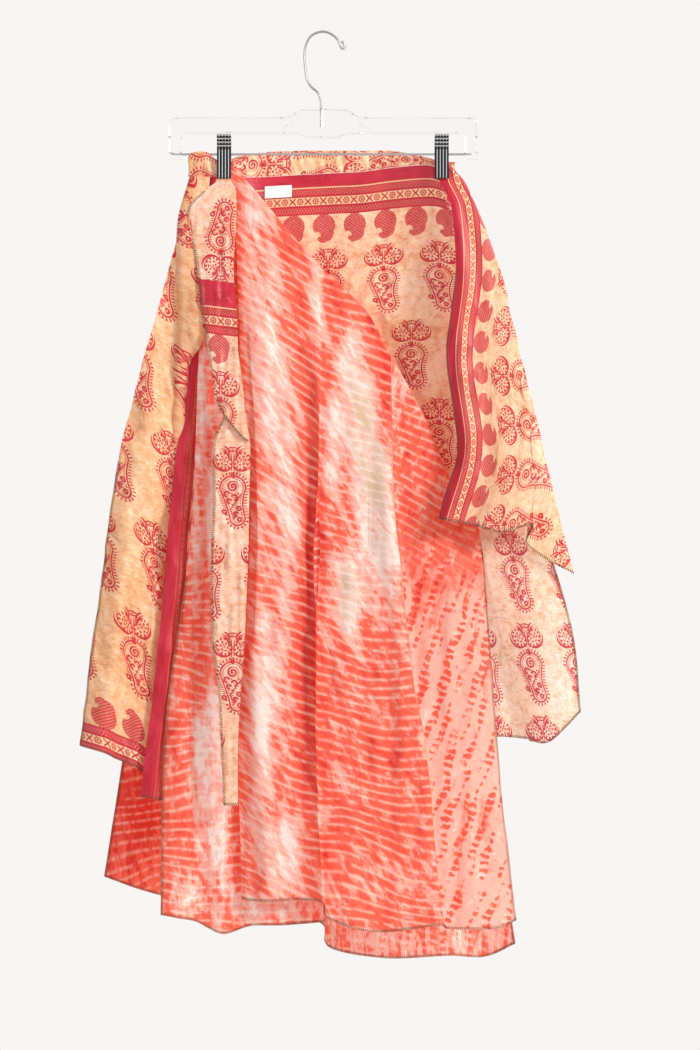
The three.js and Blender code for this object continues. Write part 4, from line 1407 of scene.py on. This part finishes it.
@dataclass(frozen=True)
class BandPath:
    """The waistband's path from above: rows of x, y, z of the top edge and z of the bottom edge, mm."""

    rows: tuple[tuple[float, float, float, float], ...] = (
        (152, 4.2, -148, -158), (136, 3.2, -148, -157), (120, 4.6, -143, -151.5), (81, 17, -134, -153),
        (45, 24, -133, -157), (8, 27, -132.5, -158.5), (-35, 25, -133, -161), (-73, 17, -136, -164),
        (-98, 5.2, -142, -165.5), (-113, 3.2, -146.5, -166), (-134, 3.4, -144, -166), (-150, 2.4, -144, -166),
        (-155, -0.6, -144, -166), (-151, -3.7, -138.5, -166), (-135, -3.7, -137.5, -166),
        (-121, -2.6, -147, -166), (-103, -2.25, -149, -166),
    )
    back_from: float = 8.3 / 16
    back_to: float = 1.85 / 16
    gap: float = 0.45

    def read(self, share: Array) -> Array:
        """The path's four numbers at shares of its way."""
        return through(np.linspace(0, 1, len(self.rows)), np.array(self.rows, float), share)

    def seam(self, u: Array, offset: float, end: Optional[float] = None) -> Array:
        """The seam line where a back panel hangs, at shares u across it, moved back by an offset.

        Args:
            u: shares across the panel.
            offset: how far behind the band the seam lies, mm.
            end: share of the band's way where the seam ends, if not the usual one.

        Returns:
            The seam's points, mm.
        """
        last = self.back_to if end is None else end
        x, y, _, bottom = self.read(self.back_from + (last - self.back_from) * u).T
        return np.stack([x, y + offset, bottom - self.gap], -1)


BAND = BandPath()


def hung(panel: Panel, u: Array, v: Array) -> tuple[Layout, Array]:
    """Lay a panel out and place it in depth: its layout and its points."""
    layout = panel.lay(u, v)
    return layout, SIGHT.place(layout.x, layout.y, layout.z)


def sewn(points: Array, u: Array, v: Array, offset: float, reach: float, end: Optional[float] = None) -> Array:
    """Bend a panel's upper rows so that its top edge lies along the waistband's seam."""
    fade = 1 - smooth(0, reach, v)
    return points + (BAND.seam(u, offset, end) - points[0])[None] * fade[:, None, None]


@dataclass
class PrintedLayers:
    """The short printed layer: back, left drape, right flap and drape, border strip, waistband and tie."""

    finishes: list[bpy.types.Material] = field(default_factory=list)

    def build(self, thread: bpy.types.Material) -> None:
        """Make every printed piece.

        Args:
            thread: the serging thread's material.
        """
        self._waistband()
        self._back()
        self._left_drape(thread)
        self._border_strip(thread)
        self._right_flap(thread)
        self._right_drape(thread)
        self._tie(thread)

    def _finish(self, node: str, points: Array, s: Array, t: Array, finish: PrintedCloth, slot: str,
                thread: Optional[bpy.types.Material] = None,
                edges: Sequence[tuple[str, tuple[float, float]]] = ()) -> None:
        """Write a piece named after the solid that it stands for, hide that solid, and serge its edges.

        Args:
            node: the solid that it stands for.
            points: its grid, mm.
            s: cloth coordinate along the border, mm.
            t: cloth coordinate away from the border, mm.
            finish: the printed cloth.
            slot: the record's material slot.
            thread: the serging thread's material.
            edges: the edges to serge, each with the part that is serged.
        """
        self.finishes.append(finish.build())
        obj = write_cloth(f"{node}_cloth", points, s, t, self.finishes[-1], slot)
        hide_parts(node)
        hems = serged(node, points, edges, thread, slot)

    def _waistband(self) -> None:
        """The waistband: gathered cloth along its path, bowed back between the clips."""
        share, w = np.linspace(0, 1, 420), np.linspace(0, 1, 22)
        x, y, top, bottom = BAND.read(share).T
        points = np.stack([np.broadcast_to(x, (22, 420)), np.broadcast_to(y, (22, 420)),
                           top + (bottom - top) * w[:, None]], -1)
        run = np.concatenate([[0], np.cumsum(np.hypot(np.diff(x), np.diff(y)))])
        bulge = np.sin(w * math.pi)[:, None]
        gathers = ripples(run[None], w[:, None] * 20, 11, 21, 3.0) * bulge
        points = raised(points, -gathers)
        finish = PrintedCloth("printed_polyester_band", bordered=False, column=44.0, row=90.0, origin=(13.0, 12.0))
        self._finish("waistband", points, w[:, None] * 26, run[None],
                     finish, "printed_cloth")

    def _back(self) -> None:
        """The printed back panel: its wrong side shows over the front panel's slanting edge."""
        u, v = np.linspace(0, 1, 220), np.linspace(0, 1, 380) ** 1.2
        layout, points = hung(PRINTED_BACK, u, v)
        points = sewn(points, u, v, -0.78, 0.3, 1.0 / 16)
        pulled = ripples(layout.x - layout.z * 0.6, layout.z, 34, 22, 2.4) * 1.6
        pulled += crumples(layout.x - layout.z * 0.5, layout.z, 44, 23, 1.6) * 2.6
        pulled += crumples(layout.x + layout.z * 0.3, layout.z, 30, 32, 1.2) * 1.2
        points = raised(points, pulled * smooth(0.02, 0.2, layout.v))
        drop = points[0, :, 2] - points[..., 2]
        t = 4.0 + drop + np.maximum(drop - 76.0, 0) * 0.18
        finish = PrintedCloth("printed_polyester_back", origin=(70.0, 92.0), mango_from=72.0, ground="#ffd9b2",
                              ground_light="#fff0d8", hatch=0.28)
        self._finish("printed_back", points, points[..., 0], t, finish, "printed_cloth")

    def _left_drape(self, thread: bpy.types.Material) -> None:
        """The left drape: it falls from the band's folded end in a cascade, border at the hem.

        Args:
            thread: the serging thread's material.
        """
        u, v = np.linspace(0, 1, 170), np.linspace(0, 1, 300)
        layout, points = hung(LEFT_DRAPE, u, v)
        creases = ripples(layout.x, layout.z, 36, 24, 4.0) * 0.9 + crumples(layout.x, layout.z, 42, 25, 2.2) * 2.0
        turned = layout.x + 202.6 + (layout.z + 601.0) * 0.38
        ledge = smooth(-3, 3, turned) * np.exp(-(((layout.z + 601.0) / 62.0) ** 4)) * 5.0
        creases = creases + pleated(layout, ((-160, -200, -167, -420, 6, -3.4), (-174, -230, -186, -440, 7, 2.8),
                                             (-206, -500, -232, -800, 9, 2.6), (-196, -640, -206, -830, 7, -2.4)))
        points = raised(points, creases * smooth(0.06, 0.25, layout.v) - 5.0 + ledge)
        t = 23.0 + (layout.z - layout.z[-1:]) * 1.02
        s = (layout.x + 182.0 + 0.05 * (layout.z + 420.0)) * 1.12
        s = s - 8.0 * smooth(-500, -620, layout.z)
        finish = PrintedCloth("printed_polyester_left", way=Way.BLOSSOM_FAR, origin=(0.0, 196.0),
                              mango_from=-72.0, ground="#f4c293", ground_light="#fde2bf")
        self._finish("left_drape", points, s, t, finish, "printed_cloth", thread,
                     (("hem", (0.0, 1.0)), ("left", (0.5, 1.0))))

    def _border_strip(self, thread: bpy.types.Material) -> None:
        """The border strip: the crimson selvedge band that hangs beside the left drape.

        Args:
            thread: the serging thread's material.
        """
        u, v = np.linspace(0, 1, 60), np.linspace(0, 1, 300)
        layout, points = hung(BORDER_STRIP, u, v)
        creases = ripples(layout.x, layout.z, 40, 26, 2.0) * 0.8 + crumples(layout.x, layout.z, 46, 34, 1.4) * 2.0
        points = raised(points, creases * smooth(0.1, 0.3, layout.v))
        # The strip's crimson is deeper and its gold dimmer than on the other pieces: partly painted shade, where the
        # strip hangs beside the left drape.
        finish = PrintedCloth("printed_polyester_selvedge", band="#d8122e", gold="#d67a5a")
        self._finish("border_strip", points, -layout.z, layout.u * 84.0 - 24.0, finish, "crimson_cloth",
                     thread, (("hem", (0.0, 1.0)),))

    def _right_flap(self, thread: bpy.types.Material) -> None:
        """The right flap: it is pinched in the right clip and falls with its border down the left edge.

        Args:
            thread: the serging thread's material.
        """
        u, v = np.linspace(0, 1, 190), np.linspace(0, 1, 230)
        layout, points = hung(RIGHT_FLAP, u, v)
        creases = ripples(layout.x, layout.z, 30, 27, 4.0) * 0.8 + crumples(layout.x, layout.z, 40, 28, 2.4) * 1.6
        points = raised(points, creases * smooth(0.15, 0.4, layout.v))
        raw = layout.x - layout.x[:, :1]
        t = np.interp(raw, (0.0, 10.0, 31.0, 41.5, 50.0, 120.0, 200.0), (0.0, 19.0, 51.0, 68.0, 92.0, 187.0, 300.0))
        finish = PrintedCloth("printed_polyester_right_flap", ground="#f6cfa8", ground_light="#fde6cb",
                              origin=(452.0, 92.0), mango_from=250.0, column=57.0, through=0.3)
        self._finish("right_flap", points, -layout.z, t, finish, "printed_cloth", thread,
                     (("hem", (0.0, 1.0)), ("left", (0.3, 1.0))))

    def _right_drape(self, thread: bpy.types.Material) -> None:
        """The right drape: two leaves of a fold that show beside the front panel.

        Args:
            thread: the serging thread's material.
        """
        u, v = np.linspace(0, 1, 220), np.linspace(0, 1, 250)
        layout, points = hung(RIGHT_DRAPE, u, v)
        creases = ripples(layout.x, layout.z, 34, 29, 4.0) * 0.5 + crumples(layout.x, layout.z, 34, 30, 3.0) * 0.5
        points = raised(points, creases * smooth(0.3, 0.5, layout.v))
        s = (layout.x + 0.17 * layout.z) * 1.2
        finish = PrintedCloth("printed_polyester_right_drape", ground="#fbdcc4", ground_light="#fff1e4",
                              bordered=False, stagger=0.0, origin=(139.0, 572.5), through=0.4, ink="#d03a50")
        self._finish("right_drape", points, s, -layout.z, finish, "printed_cloth", thread,
                     (("hem", (0.0, 1.0)), ("right", (0.6, 1.0))))

    @staticmethod
    def _leaf(rows: Sequence[tuple[float, float, float, float]], u: Array, count: int) -> tuple[Array, Array, Array]:
        """Lay one leaf of the tie between its two edges.

        Args:
            rows: drop below the rail, x of the left and of the right edge, and depth, mm.
            u: shares across, a flat array.
            count: how many rows the grid has.

        Returns:
            The points, and x and z of each where they show.
        """
        drop, left, right, y = np.array(rows, float).T
        down = np.linspace(drop[0], drop[-1], count)
        left, right, y = through(drop, np.stack([left, right, y], -1), down).T[:, :, None]
        x, z = left + (right - left) * u, -down[:, None] + u * 0
        folds = ripples(x * 2, z, 24, 31, 4.0) * 0.7 + crumples(x, z, 30, 33) * 1.1
        points = raised(SIGHT.place(x, y + u * 0, z), folds * smooth(180, 230, -z))
        return points, x, z

    def _tie(self, thread: bpy.types.Material) -> None:
        """The tie: a pieced strip that hangs from the left clip, folds over once, and falls on behind the fold.

        Args:
            thread: the serging thread's material.
        """
        upper = ((151, -119, -107, -5.6), (172, -124, -105, -5.6), (178.5, -133, -101, -7.2),
                 (202, -155.5, -100, -17.5), (233, -153, -101, -21), (264, -146, -103, -25),
                 (290, -143, -102.5, -28), (325, -138, -99, -31), (365, -132.5, -98, -35), (394, -129, -94, -37.5),
                 (423, -123, -91, -40), (440, -115, -90, -41), (464, -95.6, -86.4, -42), (471, -87, -85, -42))
        lower = ((417, -116, -92, -35.5), (443, -115, -88.7, -36.5), (457, -122, -86.4, -38), (475, -126.7, -84, -40),
                 (538, -126.7, -85.2, -44), (607, -129, -86.4, -48), (699, -128, -90.4, -52),
                 (757, -121, -94.5, -55), (814, -118, -98, -57.5), (890, -115, -98, -60))
        finish = PrintedCloth("printed_polyester_tie", ground="#fbd2b4", ground_light="#fff0e0", origin=(0.0, 92.0),
                              mango_from=-2.0)
        points, x, z = self._leaf(upper, np.linspace(0, 1, 60), 260)
        seam = z + (x + 117.0) * 0.12 + 286.0
        t = np.where(seam < 0, -seam - 11.0, 92.0 + seam)
        self._finish("tie", points, (x + 118.0) * 1.05, t, finish, "printed_cloth", thread,
                     (("left", (0.1, 1.0)),))
        points, x, z = self._leaf(lower, np.linspace(0, 1, 50), 320)
        tail = write_cloth("tie_tail_cloth", points, x + 136.25, -z - 277.0, self.finishes[-1], "printed_cloth")
        hems = serged("tie_tail", points, (("left", (0.0, 1.0)), ("hem", (0.0, 1.0))), thread, "printed_cloth")


@dataclass
class CareLabel:
    """The small woven label sewn inside the printed back, left blank."""

    u: tuple[float, float] = (0.2, 0.31)
    drop: tuple[float, float] = (11.0, 25.0)
    off: float = -1.4

    def build(self) -> None:
        """Make the label a little proud of the printed back's inner face."""
        u, v = np.linspace(*self.u, 30), np.linspace(0.0, 0.06, 60)
        _, points = hung(PRINTED_BACK, u, v)
        points = sewn(points, u, v, -0.78, 0.3, 1.0 / 16)
        rows = np.searchsorted(points[0, 0, 2] - points[:, 0, 2], np.linspace(*self.drop, 14))
        points = raised(points, np.full(points.shape[:2], self.off))[rows]
        material = Plain("woven_satin_label", "#fbfaf8", "#eeebe6", 0.6, patch=1.2, grain=0.15).build()
        obj = write_cloth("care_label_cloth", points, points[..., 0], points[..., 2], material, "label_cloth")
        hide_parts("care_label")


# ---- The hanger ----------------------------------------------------------------------------------------


@dataclass
class Hanger:
    """The clear clip hanger: moulded bar, wire hook, chromed rod, and two sprung clips."""

    chrome: Plain = Plain("chromed_steel", "#c9cbce", "#b4b7bb", 0.22, 1.0, 3.0, 0.02)
    steel: Plain = Plain("drawn_steel_wire", "#b9babb", "#a4a5a7", 0.3, 1.0, 2.0, 0.03)

    def build(self) -> None:
        """Dress the hanger's solids."""
        chrome, steel, clear = self.chrome.build(), self.steel.build(), ClearPlastic().build()
        ribbed = RibbedPlate().build()
        finishes = {"hanger_body": clear, "hook": steel, "rod": chrome}
        for side in ("left", "right"):
            finishes[f"{side}_clip_front"], finishes[f"{side}_clip_back"] = ribbed, chrome
            finishes[f"{side}_clip_spring"] = steel
        self._rim(clear)
        for node, material in finishes.items():
            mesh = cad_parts[node].data
            mesh.materials.clear()
            mesh.materials.append(material)
            LOG.info("%s: dressed", node)

    @staticmethod
    def _corners(turns: Sequence[tuple[float, float]], steps: int = 7) -> Array:
        """Round a chain of corners: each becomes a curve between the middles of its two sides.

        Args:
            turns: x and z of each corner, mm.
            steps: points on each curve.

        Returns:
            x and z along the line.
        """
        at = np.array(turns, float)
        middle = (at[:-1] + at[1:]) / 2
        s = np.linspace(0, 1, steps)[None, :, None]
        a, b, c = middle[:-1, None], at[1:-1, None], middle[1:, None]
        return (a * (1 - s) ** 2 + b * 2 * s * (1 - s) + c * s**2).reshape(-1, 2)

    def _rim(self, clear: bpy.types.Material) -> None:
        """The moulding's raised rim and its two slanting ribs beside the boss, on its front face.

        Args:
            clear: the clear plastic.
        """
        half, face = 176.6, -3.5
        top = ((-half, -150), (-half, -128), (-half, -113), (-half, -99), (-160, -98.4), (-60, -98.4), (-36, -98.4),
               (-28, -89.2), (-14, -89.2), (20, -89.2), (29, -89.2), (39, -98.4), (60, -98.4), (160, -98.4),
               (half, -99), (half, -113), (half, -128), (half, -150))
        under = ((-half + 13, -150), (-half + 13, -128), (-half + 13, -115.6), (-150, -115.6), (-60, -115.6),
                 (-26, -115.6), (-19, -120.6), (19, -120.6), (26, -115.6), (60, -115.6), (150, -115.6),
                 (half - 13, -115.6), (half - 13, -128), (half - 13, -150))
        ribs = (((-31, -100), (-38, -105), (-45, -110), (-52, -115)), ((33, -99), (42, -105), (49, -110), (56, -117)))
        tubes = []
        for turns in (top, under, *ribs):
            x, z = self._corners(turns).T
            tubes.append(tube(np.stack([x, np.full(x.shape, face), z], -1), 0.85, 8))
        rim = write_mesh("hanger_rim", *joined(tubes), [clear], "clear_plastic")
        LOG.info("hanger rim: %d quads", len(rim.data.polygons))


# ---- The studio ------------------------------------------------------------------------------------------


@dataclass
class Studio:
    """A pale floor, soft lights and the camera, straight in front at the skirt's mid height. Metres."""

    camera_at: tuple[float, float, float] = (0.031, -3.5, -0.567)
    frame_height: float = 1.2096
    sensor: float = 36.0
    floor: float = -1.75
    floor_radius: float = 2.0

    def build(self) -> None:
        """Make the floor, the lights, the pale surround and the camera."""
        self._floor()
        self._surround()
        self._light("key", (2.1, -1.5, 0.7), 0.7, 66.0, "#fff8f0")
        self._light("fill", (-1.6, -3.0, 0.4), 2.2, 14.0, "#f6f8ff")
        self._light("rim", (1.5, 1.8, 0.5), 1.4, 26.0, "#fff2f0")
        camera = bpy.data.cameras.new("camera")
        camera.sensor_fit = "AUTO"
        camera.sensor_width = self.sensor
        camera.lens = self.sensor * -self.camera_at[1] / self.frame_height
        obj = bpy.data.objects.new("camera", camera)
        obj.location = self.camera_at
        obj.rotation_euler = (math.pi / 2, 0, 0)
        bpy.context.scene.collection.objects.link(obj)
        bpy.context.scene.camera = obj
        bpy.context.scene.view_settings.view_transform = "Standard"

    def _floor(self) -> None:
        """A pale disc below the hem: rings about the centre, of rising radius."""
        radius, turn = np.meshgrid(np.linspace(0.001, self.floor_radius, 12), np.arange(64) * math.pi / 32,
                                   indexing="ij")
        points = np.stack([radius * np.cos(turn), radius * np.sin(turn), np.full(radius.shape, self.floor)], -1)
        mesh = bpy.data.meshes.new("floor")
        mesh.from_pydata(points.reshape(-1, 3).tolist(), [], grid_faces(12, 64, wrap=True)[:, ::-1].tolist())
        mesh.materials.append(Plain("matt_white_floor", "#f4f2f0", "#efedeb", 0.8, patch=40.0).build())
        obj = bpy.data.objects.new("floor", mesh)
        bpy.context.scene.collection.objects.link(obj)

    @staticmethod
    def _surround() -> None:
        """A pale surround: bright where it is seen or shows through plastic, softer as light."""
        world = bpy.data.worlds.new("surround")
        bpy.context.scene.world = world
        world.use_nodes = True
        tree = world.node_tree
        tree.nodes.clear()
        path = add_node(tree, "ShaderNodeLightPath")
        clear = Signal(tree, path.outputs["Is Transmission Ray"]).most(
            Signal(tree, path.outputs["Is Glossy Ray"]) * 0.5)
        seen = Signal(tree, path.outputs["Is Camera Ray"]).most(clear)
        back = add_node(tree, "ShaderNodeBackground", {"Color": linear("#f8f5f4"), "Strength": 1.0})
        light = add_node(tree, "ShaderNodeBackground", {"Color": linear("#fff9f6"), "Strength": 0.6})
        both = add_node(tree, "ShaderNodeMixShader", {0: seen, 1: light.outputs[0], 2: back.outputs[0]})
        out = add_node(tree, "ShaderNodeOutputWorld", {0: both.outputs[0]})
        out.is_active_output = True

    @staticmethod
    def _light(name: str, at: tuple[float, float, float], size: float, power: float, colour: str) -> None:
        """A square soft light that faces the skirt's middle.

        Args:
            name: the light's name.
            at: where it stands, m.
            size: its side, m.
            power: its power, W.
            colour: its colour, sRGB hex.
        """
        light = bpy.data.lights.new(name, "AREA")
        light.size, light.energy, light.color = size, power, linear(colour)[:3]
        obj = bpy.data.objects.new(name, light)
        away = np.array(at) - np.array([0.0, 0.0, -0.6])
        obj.location = at
        obj.rotation_euler = (math.acos(away[2] / np.linalg.norm(away)), 0, math.atan2(away[1], away[0]) + math.pi / 2)
        bpy.context.scene.collection.objects.link(obj)


def main() -> None:
    """Build the studio, the hanger and the skirt."""
    logging.basicConfig(level=logging.INFO, format="%(message)s")
    Studio().build()
    thread = Plain("serging_thread", "#7a6a4e", "#54472f", 0.75, patch=1.5, grain=0.2).build()
    Hanger().build()
    PrintedLayers().build(thread)
    CoralLayers().build(thread)
    CareLabel().build()


if __name__ == "__main__":
    main()
